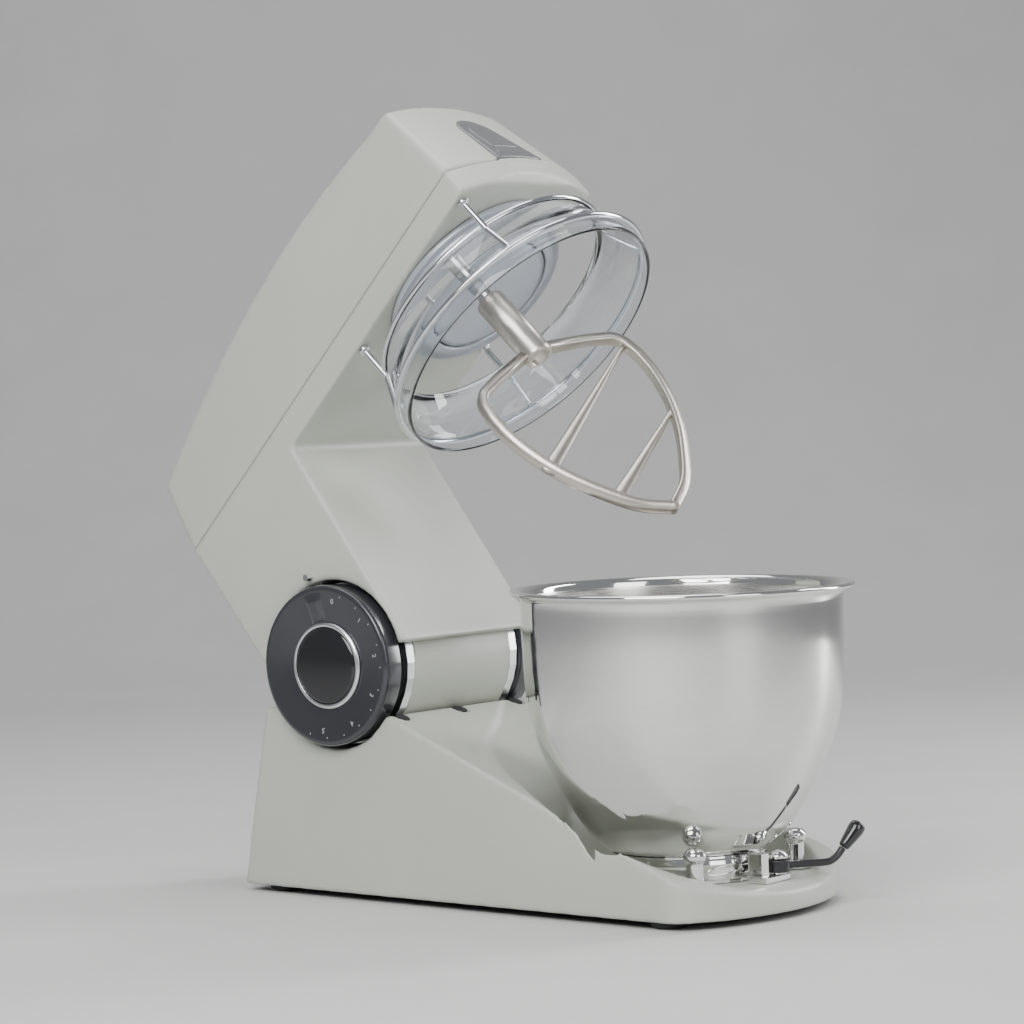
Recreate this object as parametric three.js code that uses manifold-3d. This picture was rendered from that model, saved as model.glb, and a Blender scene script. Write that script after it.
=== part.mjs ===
// A tilt-head planetary stand mixer with its head open, in millimetres, +Z up.
// -Y is the front, where the bowl stands, and the speed dial is on the -X side.
// The sizes below are measured from the bowl's axis on the table top. The finished group is then shifted
// so that its origin is the centre of its bounding box's floor.
import * as THREE from "three";
import { mergeVertices } from "three/addons/utils/BufferGeometryUtils.js";
import Module from "manifold-3d";

const wasm = await Module();
wasm.setup();

// ---------------------------------------------------------------- driving dimensions

const GAP = 0.3; // between pieces that touch
const SIDES = 32; // segments of a large round piece
const SMALL = 12; // segments of a small round piece

// Base casting: a wedge that widens towards a rounded nose.
const BASE_BOTTOM = 4;
const BASE_REAR = 349.7;
const BASE_REAR_TOP = 321.8;
const BASE_TOP = 134.2;
const SLOPE_START = 204.9;
const SIDE_END = -58.5;
const NOSE = -91.1;
const REAR_HALF_WIDTH = 69.2;
const FRONT_HALF_WIDTH = 96.6;
const SLOPE_END_HEIGHT = 30.7;
const WALL = 4;
const FLOOR = 22; // the flat that the bowl stands on
const FEET = [
  [-52, 322],
  [52, 322],
  [-78, -38],
  [78, -38],
];
const BUMPER_X = [-64.5, 0, 64.5]; // rubber bumpers just in front of the drum
const BUMPER_Y = 197.6;
const INLET_X = -34; // the power inlet, low in the rear wall
const INLET_Z = 34;

// Hinge: a drum across the base, with the arm's bearing plates outside it.
const HINGE_Y = 251;
const HINGE_Z = 167;
const OPEN_DEG = 46.5; // how far the head is tipped back at rest
const DRUM_RADIUS = 58;
const DRUM_HALF = 53.7;
const RELIEF_RADIUS = 60; // the hollow round the drum in the arm and the base
const SHAFT_RADIUS = 9;
const PLATE_OUTER = 61.9;
const SEAL_OUTER = 66.7;
const DIAL_FACE = 86;
const DIAL_RADIUS = 57.3;
const PLATE_SLOT = { front: 224, rear: 278 }; // the bearing plates' straps

// Arm and head, as they stand when the head is closed.
const HEAD_HALF = 74;
const SEAM = 319.3;
const UNDERSIDE = 298.7;
const HEAD_FRONT = -77;
const FRONT_BULGE = 14;
const COVER_FRONT = [-66.5, 396.4]; // ends of the arch along the cover's top edge
const COVER_REAR = [275.4, 377.7];
const COVER_FOOT = 284.6;
const COVER_ARCH = 20; // rise of that arch
const COVER_CROWN = 5.5; // rise of the top across its width
const COVER_WALL = 3.5;
const COVER_RISE = 77; // the height over which the cover draws in by the next three
const SIDE_DRAW = 13;
const NOSE_DRAW = 10.5;
const BULGE_DRAW = 9;
const HUB = { radius: 24, low: 326, high: 352, thick: 5 }; // capsule on the nose

// Planetary drive on the bowl's axis, when closed.
const DRIVE_Y = 4; // the drive and the guard stand this far behind the bowl's axis
const ORBIT = 31.5;
const ORBIT_DEG = -150.9;
const TOOTH_MODULE = 3.15;
const RING_TEETH = 30;
const PLANET_TEETH = 10;
const MOTOR_Y = 232;
const BELT_Z = 346;
const BIG_PULLEY = 48;
const SMALL_PULLEY = 16;
const FLANGE_RADIUS = 75;
const HOUSING_RADIUS = 71;
const NECK_RADIUS = 62;
const DISC_RADIUS = 41.3;
const GEAR_LOW = 286;
const GEAR_HIGH = 292;
const MOTOR_LOW = 236;
const MOTOR_HIGH = 312;

// Guard: two hoops joined by ribs, two posts up to the head, and a clear band
const UPPER_HOOP = { radius: 93.8, z: 270 };
const LOWER_HOOP = { radius: 106, z: 236.4 };
const SHIELD_EDGE = { radius: 105, z: 223.5 };
const WIRE = 2.2;
const RIB_DEG = [45, 135, 225, 315];
const POST_DEG = [48, 138];

// Beater, in the plane of its loop
const BEATER_PLANE_DEG = -26.3;
const BEATER_TIP = 43.5;
const HUB_TOP = 259;
const HUB_BOTTOM = 199;
const HUB_RADIUS = 11;
const BAR = 7;
const BAR_DEPTH = 9;
// Half of the loop's outer edge, as [half width, height] from the shoulder to the tip.
const LOOP = [
  [66, 190],
  [68.5, 172],
  [67.5, 150],
  [62, 126],
  [52.5, 102],
  [39.5, 80],
  [23, 60],
  [3, BEATER_TIP],
];

// Bowl, its seat and its clamp
const RIM_HEIGHT = 221.4;
const RIM_RADIUS = 119;
const FOOT_RADIUS = 53.5;
const FOOT_BOTTOM = 24.6;
const SEAT_TOP = 24.3;
const POST = { x: 60, y: -47 };
const PIVOT = { x: 5, y: -69.5 };

const rad = THREE.MathUtils.degToRad;

// ---------------------------------------------------------------- materials

const finish = (color, roughness, metalness) =>
  new THREE.MeshStandardMaterial({ color, roughness, metalness });
const cream = finish(0xc3c6bc, 0.45, 0.0);
const steel = finish(0xd5d7d8, 0.12, 1.0);
const satinSteel = finish(0xb6b2a9, 0.35, 1.0);
const brushed = finish(0xc9ccce, 0.3, 1.0);
const graphite = finish(0x3c3d41, 0.3, 0.2);
const black = finish(0x0d0d0f, 0.2, 0.0);
const rubber = finish(0x17171a, 0.8, 0.0);
const casting = finish(0xaeb3bb, 0.4, 0.6);
const clear = new THREE.MeshStandardMaterial({
  color: 0xdfe8f0,
  roughness: 0.05,
  transparent: true,
  opacity: 0.35,
});
const bronze = finish(0xa7824a, 0.4, 1.0);
const copper = finish(0xa86238, 0.4, 0.9);
const board = finish(0x1f5a37, 0.6, 0.0);

// ---------------------------------------------------------------- solids

// A closed geometry as a solid, with its faces turned outwards.
function solidOf(geometry) {
  const bare = geometry.index ? geometry.toNonIndexed() : geometry.clone();
  bare.deleteAttribute("normal");
  bare.deleteAttribute("uv");
  const merged = mergeVertices(bare, 1e-3);
  const index = merged.index.array;
  const build = (flip) => {
    const triVerts = [];
    for (let i = 0; i < index.length; i += 3) {
      const [a, b, c] = [index[i], index[i + 1], index[i + 2]];
      if (a !== b && b !== c && c !== a) triVerts.push(a, flip ? c : b, flip ? b : c);
    }
    return new wasm.Manifold(
      new wasm.Mesh({
        numProp: 3,
        vertProperties: merged.attributes.position.array,
        triVerts: new Uint32Array(triVerts),
      }),
    );
  };
  const made = build(false);
  return made.volume() < 0 ? build(true) : made;
}

// A solid as a named mesh.
function meshOf(name, solid, material) {
  const { numProp, vertProperties, triVerts } = solid.getMesh();
  const count = vertProperties.length / numProp;
  const position = new Float32Array(count * 3);
  for (let i = 0; i < count; i++)
    position.set(vertProperties.subarray(i * numProp, i * numProp + 3), i * 3);
  const geometry = new THREE.BufferGeometry();
  geometry.setAttribute("position", new THREE.BufferAttribute(position, 3));
  geometry.setIndex(new THREE.BufferAttribute(triVerts, 1));
  geometry.computeVertexNormals();
  const mesh = new THREE.Mesh(geometry, material);
  mesh.name = name;
  return mesh;
}

const union = (...solids) => solids.reduce((all, next) => all.add(next));
const cut = (solid, ...tools) => tools.reduce((left, tool) => left.subtract(tool), solid);

const outline = (points) => new THREE.Shape(points.map(([x, y]) => new THREE.Vector2(x, y)));

// A plan outline in X and Y, raised from one height to another.
function raised(shape, low, high, curveSegments = 12) {
  const geometry = new THREE.ExtrudeGeometry(shape, {
    depth: high - low,
    bevelEnabled: false,
    curveSegments,
  });
  return solidOf(geometry.translate(0, 0, low));
}

// A side outline in Y and Z, carried from one X to another in a number of steps.
function carried(shape, left, right, steps) {
  const geometry = new THREE.ExtrudeGeometry(shape, {
    depth: right - left,
    bevelEnabled: false,
    steps,
  });
  geometry.applyMatrix4(
    new THREE.Matrix4().makeBasis(
      new THREE.Vector3(0, 1, 0),
      new THREE.Vector3(0, 0, 1),
      new THREE.Vector3(1, 0, 0),
    ),
  );
  return geometry.translate(left, 0, 0);
}

const across = (shape, left, right) => solidOf(carried(shape, left, right, 1));

// A geometry with each of its points moved by a rule for [x, y, z].
function moved(geometry, rule) {
  const at = geometry.getAttribute("position");
  for (let i = 0; i < at.count; i++) at.setXYZ(i, ...rule([at.getX(i), at.getY(i), at.getZ(i)]));
  return geometry;
}

// A profile of [radius, height] points, turned about Z.
function turned(profile, sides = SIDES) {
  const points = profile.map(([r, z]) => new THREE.Vector2(r, z));
  const ends = [points[0], points[points.length - 1]];
  if (ends.some((p) => p.x > 0)) points.push(points[0].clone());
  return solidOf(new THREE.LatheGeometry(points, sides).rotateX(Math.PI / 2));
}

// A profile of [radius, x] points, turned about the hinge's axis.
function onHinge(profile, sides = SIDES) {
  const points = profile.map(([r, x]) => new THREE.Vector2(r, x));
  const ends = [points[0], points[points.length - 1]];
  if (ends.some((p) => p.x > 0)) points.push(points[0].clone());
  const geometry = new THREE.LatheGeometry(points, sides).rotateZ(-Math.PI / 2);
  return solidOf(geometry.translate(0, HINGE_Y, HINGE_Z));
}

const disc = (radius, low, high, sides = SIDES) =>
  turned(
    [
      [0, low],
      [radius, low],
      [radius, high],
      [0, high],
    ],
    sides,
  );

const ring = (inner, outer, low, high, sides = SIDES) =>
  turned(
    [
      [inner, low],
      [outer, low],
      [outer, high],
      [inner, high],
    ],
    sides,
  );

const hingeDisc = (radius, left, right, sides = SIDES) =>
  onHinge(
    [
      [0, left],
      [radius, left],
      [radius, right],
      [0, right],
    ],
    sides,
  );

function box(x0, x1, y0, y1, z0, z1) {
  const geometry = new THREE.BoxGeometry(x1 - x0, y1 - y0, z1 - z0);
  return solidOf(geometry.translate((x0 + x1) / 2, (y0 + y1) / 2, (z0 + z1) / 2));
}

// A round bar of the given radius along a path of points.
function bar(points, radius, sides = 8, steps = 12) {
  const section = new THREE.Shape();
  section.absarc(0, 0, radius, 0, 2 * Math.PI, false);
  const path =
    points.length === 2
      ? new THREE.LineCurve3(new THREE.Vector3(...points[0]), new THREE.Vector3(...points[1]))
      : new THREE.CatmullRomCurve3(points.map((p) => new THREE.Vector3(...p)));
  return solidOf(
    new THREE.ExtrudeGeometry(section, {
      steps: points.length === 2 ? 1 : steps,
      bevelEnabled: false,
      extrudePath: path,
      curveSegments: sides / 2,
    }),
  );
}

const hoop = ({ radius, z }, wire) =>
  turned(
    Array.from({ length: 6 }, (_, i) => [
      radius + wire * Math.cos((i * Math.PI) / 3),
      z + wire * Math.sin((i * Math.PI) / 3),
    ]),
  );

// ---------------------------------------------------------------- base

const slopeGradient = (BASE_TOP - SLOPE_END_HEIGHT) / (SLOPE_START - SIDE_END);
const slopeHeight = (y) => BASE_TOP - slopeGradient * (SLOPE_START - y);

// The base's plan, taken in by an inset: straight tapering sides and a nose that is an arc.
function basePlan(inset) {
  const front = FRONT_HALF_WIDTH - inset;
  const rear = REAR_HALF_WIDTH - inset;
  const sag = SIDE_END - NOSE;
  const radius = (FRONT_HALF_WIDTH ** 2 + sag ** 2) / (2 * sag) - inset;
  const centre = NOSE + inset + radius;
  const half = Math.asin(front / radius);
  const shape = new THREE.Shape();
  shape.absarc(0, centre, radius, -Math.PI / 2 - half, -Math.PI / 2 + half, false);
  shape.lineTo(rear, BASE_REAR - inset);
  shape.lineTo(-rear, BASE_REAR - inset);
  shape.closePath();
  return shape;
}

// The dished hollow round the bowl, grown by a wall.
const scoop = (grown) =>
  turned([
    [0, FLOOR - grown],
    [87.5 + grown, FLOOR - grown],
    [88.5 + grown, 44 - grown],
    [90 + grown, 56 - grown],
    [92.8 + grown, 66 - grown],
    [97 + grown, 73 - grown],
    [103 + grown, 79 - grown],
    [118 + grown, 91 - grown],
    [143 + grown, 107.5 - grown],
    [175 + grown, 124],
    [175 + grown, 200],
    [0, 200],
  ]);

function baseShell() {
  const body = across(
    outline([
      [BASE_REAR, BASE_BOTTOM],
      [BASE_REAR_TOP, BASE_TOP],
      [SLOPE_START, BASE_TOP],
      [NOSE - 3, slopeHeight(NOSE - 3)],
      [NOSE - 3, BASE_BOTTOM],
    ]),
    -110,
    110,
  ).intersect(raised(basePlan(0), 0, 200));
  const hollow = cut(
    across(
      outline([
        [BASE_REAR - WALL, 0],
        [BASE_REAR_TOP - WALL - 1, BASE_TOP - WALL],
        [SLOPE_START + 1, BASE_TOP - WALL],
        [NOSE + 5, slopeHeight(NOSE + 5) - WALL - 0.4],
        [NOSE + 5, 0],
      ]),
      -110,
      110,
    ).intersect(raised(basePlan(WALL), -10, 200)),
    hingeDisc(RELIEF_RADIUS + WALL, -110, 110),
    scoop(WALL),
  );
  return cut(
    body,
    scoop(0),
    hingeDisc(RELIEF_RADIUS, -110, 110),
    hollow,
    ...BUMPER_X.map((x) => bumperPlug(x, 5.6, -8, 4)),
    onRear(box(INLET_X - 14.3, INLET_X + 14.3, -6, 6, -11.3, 11.3)),
  );
}

// A round plug square to the slope, just in front of the drum.
function bumperPlug(x, radius, low, high) {
  const lean = Math.atan(slopeGradient);
  const geometry = new THREE.CylinderGeometry(radius, radius, high - low, SMALL);
  geometry.translate(0, (low + high) / 2, 0);
  geometry.rotateX(Math.PI / 2 + lean);
  return solidOf(geometry.translate(x, BUMPER_Y, slopeHeight(BUMPER_Y)));
}

// The power inlet sits low in the leaning rear wall.
const rearLean = Math.atan((BASE_REAR - BASE_REAR_TOP) / (BASE_TOP - BASE_BOTTOM));
function onRear(solid) {
  const place = new THREE.Matrix4()
    .makeTranslation(0, BASE_REAR - (INLET_Z - BASE_BOTTOM) * Math.tan(rearLean), INLET_Z)
    .multiply(new THREE.Matrix4().makeRotationX(rearLean));
  return solid.transform(place.elements);
}

function powerInlet() {
  const body = onRear(
    union(
      box(INLET_X - 17, INLET_X + 17, 0.3, 3, -14, 14),
      box(INLET_X - 14, INLET_X + 14, -18, 0.4, -11, 11),
    ),
  );
  const socket = onRear(box(INLET_X - 11.5, INLET_X + 11.5, -15, 5, -8, 8));
  const pins = [-7, 0, 7].map((x) =>
    onRear(box(INLET_X + x - 1, INLET_X + x + 1, -16, -2, x ? -3 : 1, x ? 1 : 5)),
  );
  return union(cut(body, socket), ...pins);
}

const foot = ([x, y]) =>
  turned(
    [
      [0, 0],
      [11, 0],
      [13, 2],
      [13, BASE_BOTTOM - 0.1],
      [0, BASE_BOTTOM - 0.1],
    ],
    24,
  ).translate([x, y, 0]);

function hingeDrum() {
  const x = DRUM_HALF;
  return cut(
    onHinge([
      [SHAFT_RADIUS + 4.3, -x],
      [DRUM_RADIUS, -x],
      [DRUM_RADIUS, x],
      [SHAFT_RADIUS + 4.3, x],
      [SHAFT_RADIUS + 4.3, x - WALL],
      [DRUM_RADIUS - WALL, x - WALL],
      [DRUM_RADIUS - WALL, -x + WALL],
      [SHAFT_RADIUS + 4.3, -x + WALL],
    ]),
    hingeDisc(6, -x - 1, x + 1, SMALL),
  );
}

const drumBush = (side) =>
  onHinge(
    [
      [SHAFT_RADIUS + 0.15, side * (DRUM_HALF - 9)],
      [SHAFT_RADIUS + 4, side * (DRUM_HALF - 9)],
      [SHAFT_RADIUS + 4, side * DRUM_HALF],
      [SHAFT_RADIUS + 0.15, side * DRUM_HALF],
    ],
    32,
  );

// ---------------------------------------------------------------- bowl seat and clamp

const bowlSeat = () => ring(30, 50, FLOOR + GAP, SEAT_TOP);

const seatPost = (side) =>
  turned(
    [
      [0, FLOOR + GAP],
      [10.3, FLOOR + GAP],
      [10.3, 25.5],
      [6, 27.5],
      [6, 41],
      [7.8, 43.5],
      [7.8, 46],
      [5, 49.5],
      [0, 50.5],
    ],
    24,
  ).translate([side * POST.x, POST.y, 0]);

function clampBracket() {
  const block = union(
    box(PIVOT.x - 22, PIVOT.x + 9, PIVOT.y - 5, PIVOT.y + 8, FLOOR + GAP, 26.5),
    box(PIVOT.x - 22, PIVOT.x - 12, PIVOT.y - 2, PIVOT.y + 11, 26, 43),
    disc(6, FLOOR + GAP, 27.4).translate([PIVOT.x, PIVOT.y, 0]),
    disc(3.6, 26, 38, SMALL).translate([PIVOT.x, PIVOT.y, 0]),
    turned(
      [
        [0, 36.6],
        [7, 36.6],
        [7, 38.5],
        [4.5, 41],
        [0, 42],
      ],
      SMALL,
    ).translate([PIVOT.x, PIVOT.y, 0]),
  );
  return cut(block, disc(FOOT_RADIUS + GAP + 0.4, 26.7, 60));
}

function clampLever() {
  const hub = ring(4, 8.2, 27.7, 36.3, SMALL).translate([PIVOT.x, PIVOT.y, 0]);
  const cam = box(PIVOT.x - 4, PIVOT.x + 4, PIVOT.y + 4.5, PIVOT.y + 10, 28.5, 35.5);
  const rod = bar(
    [
      [PIVOT.x + 6, PIVOT.y - 3, 31.8],
      [PIVOT.x + 22, PIVOT.y - 11, 31.4],
      [PIVOT.x + 35, PIVOT.y - 18, 31.2],
      [PIVOT.x + 41, PIVOT.y - 21, 35],
      [PIVOT.x + 45, PIVOT.y - 23, 40],
    ],
    2.6,
    10,
    14,
  );
  return cut(
    union(hub, cam, rod),
    disc(FOOT_RADIUS + GAP, 26.7, 60),
    disc(4, 20, 60, SMALL).translate([PIVOT.x, PIVOT.y, 0]),
  );
}

// The grip points up and out along the lever's bent end.
function clampKnob() {
  const axis = new THREE.Vector3(4, -2, 5).normalize();
  const start = new THREE.Vector3(PIVOT.x + 45, PIVOT.y - 23, 40).addScaledVector(axis, GAP + 0.2);
  const grip = new THREE.LatheGeometry(
    [
      [0, 0],
      [3.8, 0],
      [6, 17],
      [5, 20],
      [0, 21],
    ].map(([r, h]) => new THREE.Vector2(r, h)),
    SMALL,
  );
  grip.applyQuaternion(
    new THREE.Quaternion().setFromUnitVectors(new THREE.Vector3(0, 1, 0), axis),
  );
  return solidOf(grip.translate(start.x, start.y, start.z));
}

// ---------------------------------------------------------------- bowl

const bowlBody = () =>
  turned([
    [0, 36.6],
    [45, 38],
    [59, 45],
    [71, 58],
    [82.5, 76],
    [100, 112],
    [108.5, 150],
    [110.5, 212],
    [113, 217],
    [RIM_RADIUS, 219],
    [RIM_RADIUS - 1, RIM_HEIGHT],
    [112, RIM_HEIGHT - 0.4],
    [109, 214],
    [107, 150.5],
    [98.5, 112.6],
    [81, 77],
    [69.8, 59.2],
    [58, 46.6],
    [44.6, 39.5],
    [0, 38.2],
  ]);

const bowlFoot = () =>
  turned([
    [51.5, FOOT_BOTTOM],
    [FOOT_RADIUS, FOOT_BOTTOM],
    [FOOT_RADIUS, 41.2],
    [51.5, 40.2],
  ]);

// ---------------------------------------------------------------- arm and head, closed

// The head's plan: straight sides and a front that bulges in an arc.
function headPlan(inset) {
  const half = HEAD_HALF - inset;
  const radius = (HEAD_HALF ** 2 + FRONT_BULGE ** 2) / (2 * FRONT_BULGE) - inset;
  const centre = HEAD_FRONT - FRONT_BULGE + inset + radius;
  const turn = Math.asin(half / radius);
  const shape = new THREE.Shape();
  shape.absarc(0, centre, radius, -Math.PI / 2 - turn, -Math.PI / 2 + turn, false);
  shape.lineTo(half, 400);
  shape.lineTo(-half, 400);
  shape.closePath();
  return shape;
}

function armChassis() {
  const body = across(
    outline([
      [-100, SEAM - GAP],
      [-100, UNDERSIDE + 8],
      [-84, UNDERSIDE],
      [162.4, UNDERSIDE],
      [192.2, 131.6],
      [HINGE_Y, HINGE_Z],
      [299, 214.9],
      [284.6, SEAM - GAP],
    ]),
    -110,
    110,
  ).intersect(raised(headPlan(0), 0, 400, 16));
  const hollow = cut(
    across(
      outline([
        [-100, SEAM + 20],
        [-100, UNDERSIDE + WALL + 8],
        [-83, UNDERSIDE + WALL],
        [165.8, UNDERSIDE + WALL],
        [194.5, 142],
        [HINGE_Y, HINGE_Z],
        [294.5, 217],
        [280.5, SEAM + 20],
      ]),
      -110,
      110,
    ).intersect(raised(headPlan(WALL), 0, 400, 16)),
    hingeDisc(RELIEF_RADIUS + WALL, -110, 110),
  );
  const slots = [-1, 1].map((side) =>
    box(
      Math.min(side * (DRUM_HALF + 0.4), side * (PLATE_OUTER + GAP)),
      Math.max(side * (DRUM_HALF + 0.4), side * (PLATE_OUTER + GAP)),
      PLATE_SLOT.front - GAP,
      PLATE_SLOT.rear + GAP,
      HINGE_Z + 40,
      HINGE_Z + 75,
    ),
  );
  return cut(
    body,
    hingeDisc(RELIEF_RADIUS, -110, 110),
    hollow,
    ...slots,
    disc(NECK_RADIUS + GAP + 0.3, 290, 310).translate([0, DRIVE_Y, 0]),
    hubCoverSolid(GAP),
  );
}

// The cover's plan as a block: its sides draw in as they rise, and its nose leans back and flattens.
function drawnPlan(inset, low, high) {
  const plan = new THREE.ExtrudeGeometry(headPlan(inset), {
    depth: high - low,
    bevelEnabled: false,
    curveSegments: 16,
  });
  return solidOf(
    moved(plan.translate(0, 0, low), ([x, y, z]) => {
      const rise = (z - SEAM) / COVER_RISE;
      const bulge = 1 - (x / HEAD_HALF) ** 2;
      const back = y < 0 ? NOSE_DRAW + BULGE_DRAW * bulge : 0;
      return [x * (1 - (SIDE_DRAW / HEAD_HALF) * rise), y + back * rise, z];
    }),
  );
}

// The cover's side as a block: a shallow arch from the nose to the rear corner, crowned across.
function coverSide(inset) {
  const front = [COVER_FRONT[0], COVER_FRONT[1] - inset];
  const rear = [COVER_REAR[0] - inset, COVER_REAR[1] - inset];
  const steps = 12;
  const arch = Array.from({ length: steps + 1 }, (_, i) => {
    const t = i / steps;
    const y = front[0] + (rear[0] - front[0]) * t;
    const z = front[1] + (rear[1] - front[1]) * t;
    return [y, z + 4 * COVER_ARCH * t * (1 - t)];
  });
  const foot = SEAM + (inset ? -20 : 0);
  const side = outline([[-100, foot], [-100, front[1] - 6], ...arch, [COVER_FOOT - inset, foot]]);
  const half = HEAD_HALF - SIDE_DRAW;
  return solidOf(
    moved(carried(side, -HEAD_HALF - 1, HEAD_HALF + 1, 12), ([x, y, z]) => {
      const rise = Math.max(0, (z - SEAM) / COVER_RISE);
      return [x, y, z + COVER_CROWN * Math.min(1, rise) * (1 - (x / half) ** 2)];
    }),
  );
}

const headCover = () =>
  cut(
    coverSide(0).intersect(drawnPlan(0, SEAM - 1, 440)),
    coverSide(COVER_WALL).intersect(drawnPlan(COVER_WALL, SEAM - 25, 440)),
    hubCoverSolid(GAP),
  );

// The nose between two depths behind its face, below the seam and above it.
const noseBlock = (inset) =>
  union(raised(headPlan(inset), 300, SEAM + 0.01, 16), drawnPlan(inset, SEAM, 400));

// A capsule on the nose that closes the front drive hub. It follows the nose's bulge and lean.
function hubCoverSolid(grown) {
  const radius = HUB.radius + grown;
  const shape = new THREE.Shape();
  shape.absarc(0, HUB.high, radius, 0, Math.PI, false);
  shape.absarc(0, HUB.low, radius, Math.PI, 2 * Math.PI, false);
  shape.closePath();
  const capsule = new THREE.ExtrudeGeometry(shape, {
    depth: 60,
    bevelEnabled: false,
    curveSegments: 12,
  });
  capsule.rotateX(Math.PI / 2);
  return cut(
    solidOf(capsule.translate(0, -50, 0)).intersect(noseBlock(-0.6)),
    noseBlock(HUB.thick + grown),
  );
}

function pointerPin() {
  const x = -HEAD_HALF - GAP;
  const geometry = new THREE.CylinderGeometry(2.4, 2.4, 6, 12).rotateZ(Math.PI / 2);
  return solidOf(geometry.translate(x - 3, 219.6, 223.9));
}

// A round bearing plate with a strap that is bolted up inside the arm.
function bearingPlate(side) {
  const inner = DRUM_HALF + 0.7;
  const outer = PLATE_OUTER;
  const [left, right] = side < 0 ? [-outer, -inner] : [inner, outer];
  return cut(
    union(
      hingeDisc(DRUM_RADIUS - 0.5, left, right),
      box(left, right, PLATE_SLOT.front, PLATE_SLOT.rear, HINGE_Z + 30, 285),
    ),
    hingeDisc(SHAFT_RADIUS + GAP, left - 1, right + 1, 32),
  );
}

const sealRing = (side) =>
  onHinge(
    [
      [20, side * (PLATE_OUTER + GAP)],
      [52, side * (PLATE_OUTER + GAP)],
      [52, side * (SEAL_OUTER - GAP)],
      [20, side * (SEAL_OUTER - GAP)],
    ],
    40,
  );

const hingeShaft = () => hingeDisc(SHAFT_RADIUS, -PLATE_OUTER, PLATE_OUTER, 32);

// Skirted disc with a shallow cone for a face, on one end of the hinge.
const hingeCap = (side, face) =>
  onHinge([
    [0, side * SEAL_OUTER],
    [DIAL_RADIUS - 2.5, side * SEAL_OUTER],
    [DIAL_RADIUS, side * (SEAL_OUTER + 2)],
    [DIAL_RADIUS, side * (face - 2.5)],
    [DIAL_RADIUS - 2.5, side * (face - 0.6)],
    [31, side * (face - 4)],
    [0, side * (face - 4)],
  ]);

const dialTrim = () =>
  onHinge([
    [27.6, -(DIAL_FACE - 3.7)],
    [30.5, -(DIAL_FACE - 3.7)],
    [30.5, -(DIAL_FACE - 2.2)],
    [27.6, -(DIAL_FACE - 1.2)],
  ]);

const dialCap = () =>
  onHinge([
    [0, -(DIAL_FACE - 3.7)],
    [27.2, -(DIAL_FACE - 3.7)],
    [27.2, -(DIAL_FACE - 1.8)],
    [24, -(DIAL_FACE - 0.6)],
    [0, -DIAL_FACE],
  ]);

const dialSpindle = () => hingeDisc(6, -(SEAL_OUTER - GAP), -(PLATE_OUTER + GAP), SMALL);

// ---------------------------------------------------------------- drive, closed

function planetaryHousing() {
  return turned([
    [DISC_RADIUS + 0.7, 275.6],
    [50, 276],
    [64, 280],
    [HOUSING_RADIUS, 286],
    [HOUSING_RADIUS, 293.5],
    [FLANGE_RADIUS, 294],
    [FLANGE_RADIUS, UNDERSIDE - GAP],
    [NECK_RADIUS, UNDERSIDE - GAP],
    [NECK_RADIUS, 312],
    [14, 312],
    [14, 308],
    [58, 308],
    [58, 285],
    [DISC_RADIUS + 0.7, 281.5],
  ]);
}

// A gear's outline of straight-sided teeth.
function gearOutline(teeth, low, high, rootShare, tipShare, phase = 0) {
  const pitch = (2 * Math.PI) / teeth;
  return Array.from({ length: teeth }, (_, i) => {
    const at = phase + i * pitch;
    return [
      [low, -rootShare],
      [high, -tipShare],
      [high, tipShare],
      [low, rootShare],
    ].map(([r, share]) => [
      r * Math.cos(at + (share * pitch) / 2),
      r * Math.sin(at + (share * pitch) / 2),
    ]);
  }).flat();
}

const ringPitch = (TOOTH_MODULE * RING_TEETH) / 2;
const planetPitch = (TOOTH_MODULE * PLANET_TEETH) / 2;
const orbitAngle = rad(ORBIT_DEG);
const SPINDLE = [ORBIT * Math.cos(orbitAngle), ORBIT * Math.sin(orbitAngle), 0];

// The planet's tooth points straight out at the ring, where the ring has a gap.
function planetPinion() {
  const gear = raised(
    outline(
      gearOutline(PLANET_TEETH, planetPitch - 3.2, planetPitch + 2, 0.6, 0.24, orbitAngle),
    ),
    GEAR_LOW,
    GEAR_HIGH,
  );
  return cut(gear, disc(6.3, GEAR_LOW - 1, GEAR_HIGH + 1, SMALL)).translate(SPINDLE);
}

function ringGear() {
  const inside = raised(
    outline(
      gearOutline(RING_TEETH, ringPitch - 2, ringPitch + 3.2, 0.76, 0.44, orbitAngle),
    ),
    GEAR_LOW - 1,
    GEAR_HIGH + 1,
  );
  return cut(disc(55.5, GEAR_LOW, GEAR_HIGH), inside);
}

// The rotating carrier: a round cover below, a boss that holds the spindle and a shaft up to the pulley.
function planetCarrier() {
  const body = union(
    disc(DISC_RADIUS, 275.5, 281, 40),
    disc(9, 280, GEAR_LOW - 1),
    disc(8, 280, 356, 24),
    disc(8.6, 280, GEAR_HIGH, 24),
  );
  return cut(body, disc(6.6, 270, 283, 24).translate(SPINDLE));
}

function beaterSpindle() {
  const stem = turned(
    [
      [0, 214],
      [6, 214],
      [6, 293.5],
      [0, 293.5],
    ],
    16,
  );
  return cut(stem.translate(SPINDLE), bar([pinEnd(-9), pinEnd(9)], 2.4));
}

const pinAngle = rad(BEATER_PLANE_DEG + 90);
const pinEnd = (reach) => [
  SPINDLE[0] + reach * Math.cos(pinAngle),
  SPINDLE[1] + reach * Math.sin(pinAngle),
  250,
];

const bearing = (z) => ring(8.35, 16, z, z + 9, 20);

function gearboxFrame() {
  const plate = box(-66, 66, -58, 120, 313, 317);
  const boss = disc(22, 313, 336, 32);
  return cut(
    union(plate, boss),
    disc(12, 312, 340, 24),
    disc(16.3, 312, 323, 24),
    disc(16.3, 326.5, 340, 24),
  );
}

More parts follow.
